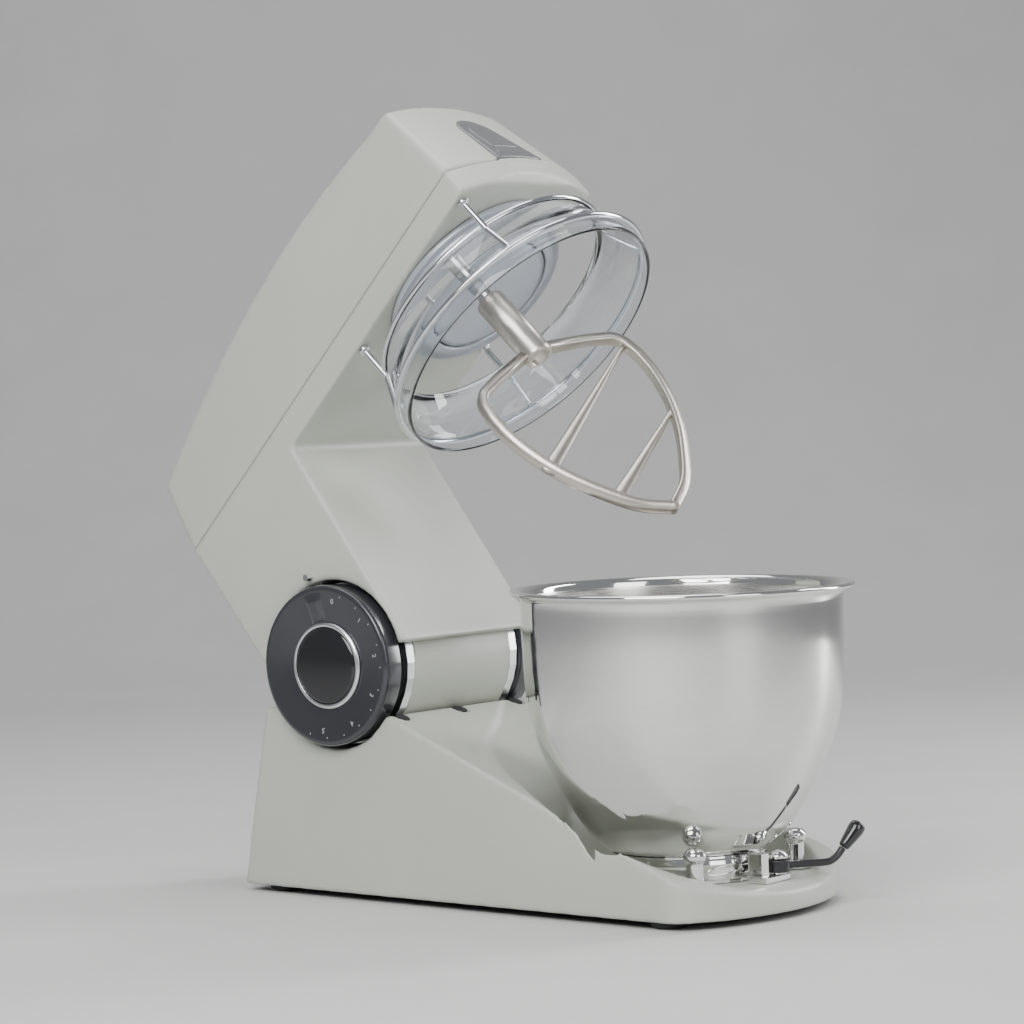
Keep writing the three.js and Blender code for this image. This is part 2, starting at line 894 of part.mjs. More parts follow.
const pulley = (radius, bore) =>
  cut(
    turned(
      [
        [0, BELT_Z - 7],
        [radius + 2.5, BELT_Z - 7],
        [radius + 2.5, BELT_Z - 5],
        [radius, BELT_Z - 5],
        [radius, BELT_Z + 5],
        [radius + 2.5, BELT_Z + 5],
        [radius + 2.5, BELT_Z + 7],
        [0, BELT_Z + 7],
      ],
      24,
    ),
    disc(bore, BELT_Z - 9, BELT_Z + 9, 12),
  );

function driveBelt() {
  const reach = MOTOR_Y - DRIVE_Y;
  const loop = (off, low, high) => {
    const big = BIG_PULLEY + off;
    const small = SMALL_PULLEY + off;
    const lean = Math.asin((big - small) / reach);
    const shape = new THREE.Shape();
    shape.absarc(0, 0, big, Math.PI - lean, 2 * Math.PI + lean, false);
    shape.absarc(0, reach, small, lean, Math.PI - lean, false);
    shape.closePath();
    return raised(shape, low, high, 10);
  };
  return cut(loop(2, BELT_Z - 4.5, BELT_Z + 4.5), loop(GAP, BELT_Z - 6, BELT_Z + 6));
}

const motorCan = () =>
  turned(
    [
      [8, MOTOR_LOW],
      [42, MOTOR_LOW],
      [42, MOTOR_HIGH],
      [8, MOTOR_HIGH],
      [8, MOTOR_HIGH - 4],
      [38, MOTOR_HIGH - 4],
      [38, MOTOR_LOW + 4],
      [8, MOTOR_LOW + 4],
    ],
    24,
  ).translate([0, MOTOR_Y, 0]);

const motorRotor = () =>
  turned(
    [
      [0, MOTOR_LOW - 1],
      [5, MOTOR_LOW - 1],
      [5, MOTOR_LOW + 12],
      [32, MOTOR_LOW + 12],
      [32, MOTOR_HIGH - 12],
      [5, MOTOR_HIGH - 12],
      [5, BELT_Z + 9],
      [0, BELT_Z + 9],
    ],
    16,
  ).translate([0, MOTOR_Y, 0]);

function coolingFan() {
  const blades = Array.from({ length: 7 }, (_, i) => {
    const blade = new THREE.BoxGeometry(16, 2, 8).translate(17, 0, 0);
    blade.rotateX(0.3).rotateZ((i * 2 * Math.PI) / 7);
    return solidOf(blade.translate(0, 0, 326));
  });
  return cut(union(disc(11, 321, 331, 24), ...blades), disc(5.3, 318, 334, 24)).translate([
    0,
    MOTOR_Y,
    0,
  ]);
}

const controlBoard = () => box(-50, 50, 278, 279.6, 235, 290);

// ---------------------------------------------------------------- guard, closed

function guardFrame() {
  const ray = (angle, radius, z) => [radius * Math.cos(angle), radius * Math.sin(angle), z];
  const ribs = RIB_DEG.map(rad).map((angle) =>
    bar([ray(angle, UPPER_HOOP.radius, UPPER_HOOP.z), ray(angle, LOWER_HOOP.radius, LOWER_HOOP.z)], 2),
  );
  const posts = POST_DEG.map(rad).map((angle) => {
    const [x, y] = ray(angle, UPPER_HOOP.radius + 1.5, 0);
    return union(
      disc(2.2, UPPER_HOOP.z - 3, UNDERSIDE - 1, 10),
      disc(4.5, UNDERSIDE - 3.5, UNDERSIDE - GAP, 16),
    ).translate([x, y, 0]);
  });
  return union(hoop(UPPER_HOOP, WIRE), hoop(LOWER_HOOP, WIRE), ...ribs, ...posts);
}

// A clear band inside the hoops that ends in a straight lip.
function guardShield() {
  const wall = 1.8;
  const inset = WIRE + 0.9;
  return turned(
    [
      [UPPER_HOOP.radius - inset, UPPER_HOOP.z],
      [LOWER_HOOP.radius - inset, LOWER_HOOP.z],
      [SHIELD_EDGE.radius, SHIELD_EDGE.z],
      [SHIELD_EDGE.radius - wall, SHIELD_EDGE.z],
      [LOWER_HOOP.radius - inset - wall, LOWER_HOOP.z],
      [UPPER_HOOP.radius - inset - wall, UPPER_HOOP.z],
    ],
    SIDES,
  );
}

// ---------------------------------------------------------------- beater, closed

function beater() {
  const thin = (points, by) =>
    points.map(([x, z], i) => {
      const before = points[Math.max(i - 1, 0)];
      const after = points[Math.min(i + 1, points.length - 1)];
      const length = Math.hypot(after[0] - before[0], after[1] - before[1]);
      return [
        x + (by * (after[1] - before[1])) / length,
        z - (by * (after[0] - before[0])) / length,
      ];
    });
  const inner = thin(LOOP, BAR);
  inner[inner.length - 1] = [0, BEATER_TIP + 10.5];
  const mirror = (points) => points.map(([x, z]) => [-x, z]).reverse();
  const loop = new THREE.Shape(
    [[8, 208.5], ...LOOP, [0, BEATER_TIP - 0.5], ...mirror(LOOP), [-8, 208.5]].map(
      ([x, z]) => new THREE.Vector2(x, z),
    ),
  );
  inner[0] = [58.8, 186];
  const hole = [[8, 200.5], ...inner, ...mirror(inner.slice(0, -1)), [-8, 200.5]];
  loop.holes.push(new THREE.Path(hole.reverse().map(([x, z]) => new THREE.Vector2(x, z))));
  const frame = new THREE.ExtrudeGeometry(loop, { depth: BAR_DEPTH, bevelEnabled: false });
  frame.translate(0, 0, -BAR_DEPTH / 2).rotateX(Math.PI / 2);
  // The two cross fins run down from the right side and widen as they go.
  const fins = [
    [60, 181, -57, 116],
    [55.5, 118, -29, 73],
  ].map(([x0, z0, x1, z1]) => {
    const fin = outline([
      [x0, z0 + 1.5],
      [x0, z0 - 3],
      [x1 + 2, z1 - 6],
      [x1 - 2, z1 + 4],
    ]);
    const blade = new THREE.ExtrudeGeometry(fin, { depth: 5, bevelEnabled: false });
    return solidOf(blade.translate(0, 0, -2.5).rotateX(Math.PI / 2));
  });
  const bore = turned(
    [
      [0, HUB_BOTTOM - 1],
      [6.5, HUB_BOTTOM - 1],
      [6.5, HUB_TOP + 1],
      [0, HUB_TOP + 1],
    ],
    24,
  );
  const slot = box(-2.9, 2.9, -14, 14, 246.5, HUB_TOP + 1);
  const whole = cut(
    union(disc(HUB_RADIUS, HUB_BOTTOM, HUB_TOP, 32), solidOf(frame), ...fins),
    bore,
    slot,
  );
  const turn = new THREE.Matrix4().makeRotationZ(rad(BEATER_PLANE_DEG));
  return whole.transform(turn.elements).translate(SPINDLE);
}

// ---------------------------------------------------------------- assembly

const base = new THREE.Group();
base.add(
  meshOf("base_shell", baseShell(), cream),
  meshOf(
    "base_plate",
    raised(basePlan(WALL + 2), BASE_BOTTOM, BASE_BOTTOM + 2.5),
    rubber,
  ),
  ...FEET.map((at, i) => meshOf("foot_" + (i + 1), foot(at), rubber)),
  meshOf("hinge_drum", hingeDrum(), cream),
  meshOf("drum_bush_left", drumBush(-1), bronze),
  meshOf("drum_bush_right", drumBush(1), bronze),
  ...["left", "middle", "right"].map((side, i) =>
    meshOf("head_bumper_" + side, bumperPlug(BUMPER_X[i], 5.2, -6, -0.8), rubber),
  ),
  meshOf("power_inlet", powerInlet(), black),
  meshOf("bowl_seat", bowlSeat(), steel),
  meshOf("seat_post_left", seatPost(-1), steel),
  meshOf("seat_post_right", seatPost(1), steel),
  meshOf("clamp_bracket", clampBracket(), steel),
  meshOf("clamp_lever", clampLever(), black),
  meshOf("clamp_knob", clampKnob(), black),
  meshOf("bowl", bowlBody(), steel),
  meshOf("bowl_foot_ring", bowlFoot(), steel),
);

const head = new THREE.Group();
head.position.set(0, -HINGE_Y, -HINGE_Z);
head.add(
  meshOf("arm_chassis", armChassis(), cream),
  meshOf("head_cover", headCover(), cream),
  meshOf("hub_cover", hubCoverSolid(0), graphite),
  meshOf("pointer_pin", pointerPin(), steel),
  meshOf("bearing_plate_left", bearingPlate(-1), brushed),
  meshOf("bearing_plate_right", bearingPlate(1), brushed),
  meshOf("seal_ring_left", sealRing(-1), black),
  meshOf("seal_ring_right", sealRing(1), black),
  meshOf("hinge_shaft", hingeShaft(), satinSteel),
  meshOf("hinge_cap_right", hingeCap(1, DIAL_FACE), graphite),
  meshOf("dial_body", hingeCap(-1, DIAL_FACE), graphite),
  meshOf("dial_trim", dialTrim(), brushed),
  meshOf("dial_cap", dialCap(), black),
  meshOf("dial_spindle", dialSpindle(), satinSteel),
  meshOf("motor_pulley", pulley(SMALL_PULLEY, 5.3).translate([0, MOTOR_Y, 0]), satinSteel),
  meshOf("motor_can", motorCan(), casting),
  meshOf("motor_rotor", motorRotor(), copper),
  meshOf("motor_fan", coolingFan(), black),
  meshOf("control_board", controlBoard(), board),
);

const drive = new THREE.Group();
drive.position.set(0, DRIVE_Y, 0);
drive.add(
  meshOf("planetary_housing", planetaryHousing(), casting),
  meshOf("ring_gear", ringGear(), satinSteel),
  meshOf("planet_carrier", planetCarrier(), casting),
  meshOf("planet_pinion", planetPinion(), satinSteel),
  meshOf("beater_spindle", beaterSpindle(), satinSteel),
  meshOf("spindle_pin", bar([pinEnd(-10.4), pinEnd(10.4)], 2), satinSteel),
  meshOf("lower_bearing", bearing(313.5), satinSteel),
  meshOf("upper_bearing", bearing(327), satinSteel),
  meshOf("gearbox_frame", gearboxFrame(), casting),
  meshOf("carrier_pulley", pulley(BIG_PULLEY, 8.3), rubber),
  meshOf("drive_belt", driveBelt(), rubber),
  meshOf("guard_frame", guardFrame(), steel),
  meshOf("guard_shield", guardShield(), clear),
  meshOf("beater", beater(), satinSteel),
);
head.add(drive);

const pivot = new THREE.Group();
pivot.position.set(0, HINGE_Y, HINGE_Z);
pivot.rotation.x = -rad(OPEN_DEG);
pivot.add(head);

const mixer = new THREE.Group();
mixer.add(base, pivot);
mixer.updateMatrixWorld(true);
const extent = new THREE.Box3().setFromObject(mixer, true);
const middle = extent.getCenter(new THREE.Vector3());
mixer.position.set(-middle.x, -middle.y, -extent.min.z);

export default mixer;
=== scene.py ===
# %% [markdown]
# # A tilt-head stand mixer
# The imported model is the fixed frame: its joints, places and sizes stay as they are. This lesson puts
# smooth castings, polished steel and clear plastic round it, one piece at a time.

# %% Load the frame
import bmesh
import bpy
import numpy as np
from mathutils import Matrix, Vector


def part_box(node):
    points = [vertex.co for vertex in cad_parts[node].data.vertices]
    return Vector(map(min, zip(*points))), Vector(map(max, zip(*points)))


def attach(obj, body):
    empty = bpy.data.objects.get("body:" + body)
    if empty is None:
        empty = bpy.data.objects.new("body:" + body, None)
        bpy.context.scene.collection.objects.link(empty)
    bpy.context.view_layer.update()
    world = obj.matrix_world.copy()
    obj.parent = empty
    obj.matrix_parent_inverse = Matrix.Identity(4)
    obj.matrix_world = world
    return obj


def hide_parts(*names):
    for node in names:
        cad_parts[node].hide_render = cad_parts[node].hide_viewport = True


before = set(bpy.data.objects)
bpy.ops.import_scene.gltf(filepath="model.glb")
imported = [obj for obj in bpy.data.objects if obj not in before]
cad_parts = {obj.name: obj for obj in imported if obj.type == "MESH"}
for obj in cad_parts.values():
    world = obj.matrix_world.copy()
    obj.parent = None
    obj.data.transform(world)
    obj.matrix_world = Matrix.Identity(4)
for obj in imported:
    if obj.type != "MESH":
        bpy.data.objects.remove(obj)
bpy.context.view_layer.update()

# %% [markdown]
# ## Two ways to say where a point is
# All shapes are worked out in millimetres from the bowl's axis on the table top, which is where a
# mixer is measured from. The head is drawn as if it were closed, because every edge is then level or
# upright, and its points are tipped back about the hinge at the end.

# %% Places
bowl_low, bowl_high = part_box("bowl")
AXIS_Y = (bowl_low[1] + bowl_high[1]) * 500.0
HINGE = np.array([0.0, 251.0, 167.0])
TIP = np.radians(46.5)


def from_axis(points):
    """Millimetres from the bowl's axis to metres in the frame: y moves by the axis's own y."""
    points = np.asarray(points, float)
    return (points + [0.0, AXIS_Y, 0.0]) / 1000.0


def tipped(points):
    """Closed-head millimetres to metres: turned back by TIP about the hinge's axis, then placed."""
    points = np.asarray(points, float)
    y, z = points[..., 1] - HINGE[1], points[..., 2] - HINGE[2]
    back = HINGE[1] + y * np.cos(TIP) + z * np.sin(TIP)
    up = HINGE[2] - y * np.sin(TIP) + z * np.cos(TIP)
    return from_axis(np.stack([points[..., 0], back, up], -1))


print("bowl axis at y =", round(AXIS_Y, 1), "mm")

# %% [markdown]
# ## Camera
# A long lens stands low at the front left corner, so the machine is seen nearly level with little
# perspective. The camera rolls by two degrees.

# %% Camera
AZIMUTH, ELEVATION, ROLL = np.radians([-51.83, 2.07, -1.87])
back = np.array([np.sin(AZIMUTH) * np.cos(ELEVATION), -np.cos(AZIMUTH) * np.cos(ELEVATION), np.sin(ELEVATION)])
side = np.cross(-back, [0.0, 0.0, 1.0])
side /= np.linalg.norm(side)
upward = np.cross(side, -back)
right = np.cos(ROLL) * side + np.sin(ROLL) * upward
top = -np.sin(ROLL) * side + np.cos(ROLL) * upward
eye = from_axis([-2021.3, -1444.1, 364.5])

lens = bpy.data.cameras.new("camera")
lens.sensor_width = 36.0
lens.lens = 3638.5 / 1024 * 36.0
camera = bpy.data.objects.new("camera", lens)
bpy.context.collection.objects.link(camera)
stand = np.eye(4)
stand[:3, 0], stand[:3, 1], stand[:3, 2], stand[:3, 3] = right, top, back, eye
camera.matrix_world = Matrix(stand.tolist())
bpy.context.scene.camera = camera
print("lens", round(lens.lens, 1), "mm")

# %% [markdown]
# ## Surfaces from numbers
# A surface is a grid of points: one number runs along it, the other across. The helper below turns
# such a grid into a mesh, closes it where it is asked to, and points its faces outwards. A profile
# turned about an axis, a wire and a swept bar are all such grids.

# %% Grid to mesh
def make_object(name, points, faces, smooth=True):
    """A mesh object at the origin from metres and faces. Doubles are merged and faces point out."""
    mesh = bpy.data.meshes.new(name)
    mesh.from_pydata(np.asarray(points, float).tolist(), [], [list(map(int, f)) for f in faces])
    work = bmesh.new()
    work.from_mesh(mesh)
    bmesh.ops.remove_doubles(work, verts=work.verts, dist=1e-6)
    bmesh.ops.dissolve_degenerate(work, edges=work.edges, dist=1e-7)
    bmesh.ops.recalc_face_normals(work, faces=work.faces)
    work.to_mesh(mesh)
    work.free()
    mesh.polygons.foreach_set("use_smooth", [smooth] * len(mesh.polygons))
    thing = bpy.data.objects.new(name, mesh)
    bpy.context.collection.objects.link(thing)
    return thing


def grid_faces(rows, columns, wrap_rows=False, wrap_columns=False):
    """The quads of a grid: each point with its right, lower right and lower neighbours."""
    r = np.arange(rows if wrap_rows else rows - 1)
    c = np.arange(columns if wrap_columns else columns - 1)
    i, j = np.meshgrid(r, c, indexing="ij")
    i2, j2 = (i + 1) % rows, (j + 1) % columns
    return np.stack([i * columns + j, i * columns + j2, i2 * columns + j2, i2 * columns + j], -1).reshape(-1, 4)


def rounded_path(corners, radius, steps=5):
    """A path whose corners are arcs: each corner gives way to a curve between points a radius away."""
    corners = np.asarray(corners, float)
    out = [corners[0]]
    for before, here, after in zip(corners[:-2], corners[1:-1], corners[2:]):
        a, b = before - here, after - here
        la, lb = np.linalg.norm(a), np.linalg.norm(b)
        cut = min(radius, 0.45 * la, 0.45 * lb)
        p, q = here + a / la * cut, here + b / lb * cut
        t = np.linspace(0, 1, steps)[:, None]
        out.extend((1 - t) ** 2 * p + 2 * t * (1 - t) * here + t**2 * q)
    out.append(corners[-1])
    return np.array(out)


def turned_points(profile, sides=128):
    """A profile of radius and height turned about Z: x = r cos a, y = r sin a."""
    profile = np.asarray(profile, float)
    a = np.linspace(0, 2 * np.pi, sides, endpoint=False)[:, None]
    r, z = profile[:, 0][None], profile[:, 1][None]
    return np.stack([r * np.cos(a), r * np.sin(a), z + 0 * a], -1)


def lathe(name, profile, place, sides=128, closed=False):
    """A turned piece: the profile's two ends meet the axis, or it closes on itself."""
    points = turned_points(profile, sides)
    faces = grid_faces(sides, points.shape[1], True, closed)
    return make_object(name, place(points).reshape(-1, 3), faces)


def on_hinge(points):
    """Carries points turned about Z to the hinge's axis: height becomes x."""
    turned = np.stack([points[..., 2], points[..., 0], points[..., 1]], -1)
    return turned + HINGE


def at_hinge(points):
    """The same, in metres and in the frame."""
    return from_axis(on_hinge(points))


def corners_of(mesh):
    """Every vertex of a mesh, as rows of x, y and z."""
    points = np.empty(len(mesh.vertices) * 3)
    mesh.vertices.foreach_get("co", points)
    return points.reshape(-1, 3)


def belongs(thing, body, node_name):
    """Says which body a piece rides and which node it stands for."""
    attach(thing, body)
    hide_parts(node_name)


def swept(name, path, outline, across, place, closed=False):
    """An outline carried along a path. Its first number goes along the path's side, its second along across."""
    path = np.asarray(path, float)
    ahead = np.roll(path, -1, 0) - np.roll(path, 1, 0)
    if not closed:
        ahead[0], ahead[-1] = path[1] - path[0], path[-1] - path[-2]
    ahead /= np.linalg.norm(ahead, axis=1)[:, None]
    across = np.broadcast_to(np.asarray(across, float), path.shape)
    aside = np.cross(ahead, across)
    aside /= np.linalg.norm(aside, axis=1)[:, None]
    upright = np.cross(aside, ahead)
    outline = np.asarray(outline, float)
    points = path[:, None] + outline[None, :, :1] * aside[:, None] + outline[None, :, 1:] * upright[:, None]
    rows, columns = points.shape[:2]
    faces = grid_faces(rows, columns, closed, True).tolist()
    if not closed:
        faces += [list(range(columns)), list(range((rows - 1) * columns, rows * columns))]
    return make_object(name, place(points).reshape(-1, 3), faces)


def circle(radius, sides=16):
    """Points evenly round a circle."""
    a = np.linspace(0, 2 * np.pi, sides, endpoint=False)
    return np.stack([radius * np.cos(a), radius * np.sin(a)], -1)


def joined(name, *things):
    """Several meshes as one object, with their places and material slots kept."""
    work = bmesh.new()
    slots = []
    for thing in things:
        start = len(work.faces)
        work.from_mesh(thing.data)
        work.faces.ensure_lookup_table()
        for own, material in enumerate(thing.data.materials):
            if material not in slots:
                slots.append(material)
        if thing.data.materials:
            turn = [slots.index(m) for m in thing.data.materials]
            for face in work.faces[start:]:
                face.material_index = turn[min(face.material_index, len(turn) - 1)]
    mesh = bpy.data.meshes.new(name)
    work.to_mesh(mesh)
    work.free()
    for material in slots:
        mesh.materials.append(material)
    whole = bpy.data.objects.new(name, mesh)
    bpy.context.collection.objects.link(whole)
    for thing in things:
        bpy.data.objects.remove(thing)
    return whole


# %% [markdown]
# ## Castings
# The body is a painted casting: flat faces, and every edge softened by the mould and the paint. Such
# a shape could be bevelled edge by edge, but where a dish meets a slope the bevels tangle. Here the
# sharp block is cut from simple solids, remade in small even cells, and relaxed a little. Flat faces
# stay flat under this, and each edge comes out round. Where a joint line should stay crisp, the
# relaxing is held back.

# %% Prisms, cuts and relaxing
def prism(name, outline, low, high, order):
    """An outline of (a, b) pairs carried from low to high. Order gives the axes of a, b and the carry."""
    outline = np.asarray(outline, float)
    count = len(outline)
    ends = [np.column_stack([outline, np.full(count, v)]) for v in (low, high)]
    points = np.vstack(ends)[:, np.argsort(order)]
    around = np.arange(count)
    walls = np.stack([around, (around + 1) % count, (around + 1) % count + count, around + count], -1).tolist()
    faces = walls + [list(range(count)), list(range(count, 2 * count))]
    return make_object(name, points, faces)


def solid_turn(name, profile, sides=128, place=lambda p: p):
    """A closed turned block in millimetres, for cutting."""
    return lathe(name, profile, place, sides)


def carved(name, keep, tools, cell, place, passes=14, crisp=None):
    """Keeps what is common to the first blocks, cuts the tools away, remakes it in cells and relaxes it."""
    block = keep[0]
    for other in keep[1:]:
        step = block.modifiers.new("common", "BOOLEAN")
        step.operation, step.object, step.solver = "INTERSECT", other, "EXACT"
    for tool in tools:
        step = block.modifiers.new("cut", "BOOLEAN")
        step.operation, step.object, step.solver = "DIFFERENCE", tool, "EXACT"
    cells = block.modifiers.new("cells", "REMESH")
    cells.mode, cells.voxel_size, cells.use_smooth_shade = "VOXEL", cell, True
    depsgraph = bpy.context.evaluated_depsgraph_get()
    mesh = bpy.data.meshes.new_from_object(block.evaluated_get(depsgraph))
    for thing in [*keep, *tools]:
        bpy.data.objects.remove(thing)
    thing = bpy.data.objects.new(name, mesh)
    bpy.context.collection.objects.link(thing)
    points = corners_of(mesh)
    held = np.zeros(len(points), bool) if crisp is None else crisp(points)
    relax = thing.modifiers.new("relax", "SMOOTH")
    relax.factor, relax.iterations = 0.5, passes
    free = thing.vertex_groups.new(name="free")
    free.add(np.flatnonzero(~held).tolist(), 1.0, "REPLACE")
    free.add(np.flatnonzero(held).tolist(), 0.12, "REPLACE")
    relax.vertex_group = "free"
    depsgraph.update()
    done = bpy.data.meshes.new_from_object(thing.evaluated_get(bpy.context.evaluated_depsgraph_get()))
    thing.modifiers.clear()
    thing.vertex_groups.clear()
    thing.data = done
    done.name = name
    done.vertices.foreach_set("co", place(corners_of(done)).ravel())
    done.polygons.foreach_set("use_smooth", [True] * len(done.polygons))
    done.update()
    print(name, len(done.polygons), "faces")
    return thing


# %% [markdown]
# ## Shared effects
# Paint, steel and plastic all need detail finer than their shape. Two node groups give it: one makes
# the fine even texture of paint and moulded plastic, with a slow change of tone over the whole piece,
# and the other makes the brushing or turning lines of metal. Each puts out values only, and every
# material sets its own scale.

# %% Node groups
def new_group(name, inputs, outputs):
    """An empty shader group with float inputs {name: default} and float outputs."""
    group = bpy.data.node_groups.new(name, "ShaderNodeTree")
    group.interface.new_socket("Vector", in_out="INPUT", socket_type="NodeSocketVector")
    for key, value in inputs.items():
        socket = group.interface.new_socket(key, in_out="INPUT", socket_type="NodeSocketFloat")
        socket.default_value = value
    for key in outputs:
        group.interface.new_socket(key, in_out="OUTPUT", socket_type="NodeSocketFloat")
    return group, group.nodes.new("NodeGroupInput"), group.nodes.new("NodeGroupOutput")


def node(tree, kind, **settings):
    """A node with some of its settings or input values given by name."""
    made = tree.nodes.new(kind)
    for key, value in settings.items():
        if key in made.inputs:
            made.inputs[key].default_value = value
        else:
            setattr(made, key, value)
    return made


def wire(tree, start, end):
    tree.links.new(start, end)


grain, given, result = new_group("fine_grain", {"Scale": 900.0, "Tone Scale": 9.0}, ["Grain", "Tone", "Speck"])
fine = node(grain, "ShaderNodeTexNoise", Detail=2.0, Roughness=0.6)
slow = node(grain, "ShaderNodeTexNoise", Detail=3.0, Roughness=0.5)
speck = node(grain, "ShaderNodeTexNoise", Scale=2600.0, Detail=1.0)
for source in (fine, slow, speck):
    wire(grain, given.outputs["Vector"], source.inputs["Vector"])
wire(grain, given.outputs["Scale"], fine.inputs["Scale"])
wire(grain, given.outputs["Tone Scale"], slow.inputs["Scale"])
wire(grain, fine.outputs["Fac"], result.inputs["Grain"])
wire(grain, slow.outputs["Fac"], result.inputs["Tone"])
wire(grain, speck.outputs["Fac"], result.inputs["Speck"])

lines, given, result = new_group("fine_lines", {"Along": 20.0, "Across": 2200.0, "Blotch": 14.0}, ["Lines", "Blotch"])
split = node(lines, "ShaderNodeSeparateXYZ")
join = node(lines, "ShaderNodeCombineXYZ")
stretch = [node(lines, "ShaderNodeMath", operation="MULTIPLY") for _ in range(3)]
wire(lines, given.outputs["Vector"], split.inputs[0])
for axis, (step, scale) in enumerate(zip(stretch, ("Along", "Along", "Across"))):
    wire(lines, split.outputs[axis], step.inputs[0])
    wire(lines, given.outputs[scale], step.inputs[1])
    wire(lines, step.outputs[0], join.inputs[axis])
streak = node(lines, "ShaderNodeTexNoise", Scale=1.0, Detail=3.0, Roughness=0.7)
patch = node(lines, "ShaderNodeTexNoise", Detail=3.0)
wire(lines, join.outputs[0], streak.inputs["Vector"])
wire(lines, given.outputs["Vector"], patch.inputs["Vector"])
wire(lines, given.outputs["Blotch"], patch.inputs["Scale"])
wire(lines, streak.outputs["Fac"], result.inputs["Lines"])
wire(lines, patch.outputs["Fac"], result.inputs["Blotch"])
print("groups:", grain.name, lines.name)

# %% [markdown]
# ## Materials
# Every finish starts as a Principled shader with its plain numbers set on its own sockets. The groups
# then move the colour a few per cent, spread the roughness, and feed a shallow bump.

# %% Material builder
def new_material(name, color, roughness, metallic=0.0, **sockets):
    """A Principled material. Extra sockets are set by their names with spaces as underscores."""
    material = bpy.data.materials.new(name)
    material.use_nodes = True
    shader = material.node_tree.nodes["Principled BSDF"]
    shader.inputs["Base Color"].default_value = (*color, 1.0)
    shader.inputs["Roughness"].default_value = roughness
    shader.inputs["Metallic"].default_value = metallic
    for key, value in sockets.items():
        shader.inputs[key.replace("_", " ")].default_value = value
    return material, material.node_tree, shader


def spread(tree, source, low, high):
    """Takes a value between 0.3 and 0.7 to a range."""
    step = node(tree, "ShaderNodeMapRange")
    step.inputs["From Min"].default_value = 0.3
    step.inputs["From Max"].default_value = 0.7
    step.inputs["To Min"].default_value = low
    step.inputs["To Max"].default_value = high
    wire(tree, source, step.inputs["Value"])
    return step.outputs["Result"]


def tinted(tree, source, color, change):
    """A colour that a value makes darker or lighter by a share."""
    color = np.array(color)
    mix = node(tree, "ShaderNodeMix", data_type="RGBA")
    mix.inputs[6].default_value = (*np.clip(color * (1 - change), 0, 1), 1)
    mix.inputs[7].default_value = (*np.clip(color * (1 + change), 0, 1), 1)
    wire(tree, spread(tree, source, 0.0, 1.0), mix.inputs[0])
    return mix.outputs[2]


def bumped(tree, shader, source, strength, distance):
    """A shallow bump from a value."""
    bump = node(tree, "ShaderNodeBump", Strength=strength, Distance=distance)
    wire(tree, source, bump.inputs["Height"])
    wire(tree, bump.outputs["Normal"], shader.inputs["Normal"])


def grained(name, color, roughness, change=0.03, scale=900.0, bump=0.05, metallic=0.0, **sockets):
    """Paint, rubber or plastic: fine grain in its bump and roughness, slow change in its tone."""
    material, tree, shader = new_material(name, color, roughness[0], metallic, **sockets)
    place = node(tree, "ShaderNodeTexCoord")
    group = node(tree, "ShaderNodeGroup", node_tree=grain)
    group.inputs["Scale"].default_value = scale
    wire(tree, place.outputs["Object"], group.inputs["Vector"])
    wire(tree, tinted(tree, group.outputs["Tone"], color, change), shader.inputs["Base Color"])
    wire(tree, spread(tree, group.outputs["Speck"], *roughness), shader.inputs["Roughness"])
    bumped(tree, shader, group.outputs["Grain"], bump, 0.0003)
    return material


def lined(name, color, roughness, change=0.05, along=20.0, across=2200.0, bump=0.05, turn=(0, 0, 0), **sockets):
    """Metal with brushing lines: they run across the third axis of its turned coordinates."""
    material, tree, shader = new_material(name, color, roughness[0], 1.0, **sockets)
    place = node(tree, "ShaderNodeTexCoord")
    turned = node(tree, "ShaderNodeMapping")
    turned.inputs["Rotation"].default_value = turn
    group = node(tree, "ShaderNodeGroup", node_tree=lines)
    group.inputs["Along"].default_value = along
    group.inputs["Across"].default_value = across
    wire(tree, place.outputs["Object"], turned.inputs["Vector"])
    wire(tree, turned.outputs["Vector"], group.inputs["Vector"])
    wire(tree, tinted(tree, group.outputs["Lines"], color, change), shader.inputs["Base Color"])
    wire(tree, spread(tree, group.outputs["Lines"], *roughness), shader.inputs["Roughness"])
    bumped(tree, shader, group.outputs["Lines"], bump, 0.0002)
    return material


# %% Finishes
SIDEWAYS = (0.0, np.pi / 2, 0.0)
HEAD_UP = (TIP, 0.0, 0.0)
sage_paint = grained("sage_paint", (0.515, 0.535, 0.475), (0.36, 0.46), 0.025, 1100.0, 0.06,
                      Coat_Weight=0.12, Coat_Roughness=0.25)
mirror_steel = lined("mirror_steel", (0.80, 0.80, 0.79), (0.05, 0.085), 0.02, 6.0, 900.0, 0.012)
bowl_inside = lined("bowl_inside", (0.66, 0.65, 0.63), (0.20, 0.34), 0.06, 8.0, 1500.0, 0.08)
hoop_steel = lined("hoop_steel", (0.74, 0.76, 0.79), (0.07, 0.13), 0.03, 30.0, 900.0, 0.02, HEAD_UP)
beater_steel = grained("beater_steel", (0.60, 0.565, 0.51), (0.24, 0.40), 0.08, 1300.0, 0.35, 1.0)
ring_aluminium = lined("ring_aluminium", (0.78, 0.79, 0.81), (0.18, 0.30), 0.05, 12.0, 1800.0, 0.06, SIDEWAYS)
satin_drive = grained("satin_drive", (0.52, 0.55, 0.61), (0.28, 0.36), 0.04, 800.0, 0.04, 0.45)
graphite_gloss = grained("graphite_gloss", (0.045, 0.047, 0.055), (0.16, 0.24), 0.10, 1500.0, 0.02, 0.35,
                          Coat_Weight=0.6, Coat_Roughness=0.12)
gloss_black = grained("gloss_black", (0.012, 0.012, 0.014), (0.07, 0.12), 0.15, 1200.0, 0.01,
                       Coat_Weight=0.5, Coat_Roughness=0.05)
lever_black = grained("lever_black", (0.018, 0.018, 0.02), (0.25, 0.38), 0.15, 900.0, 0.06)
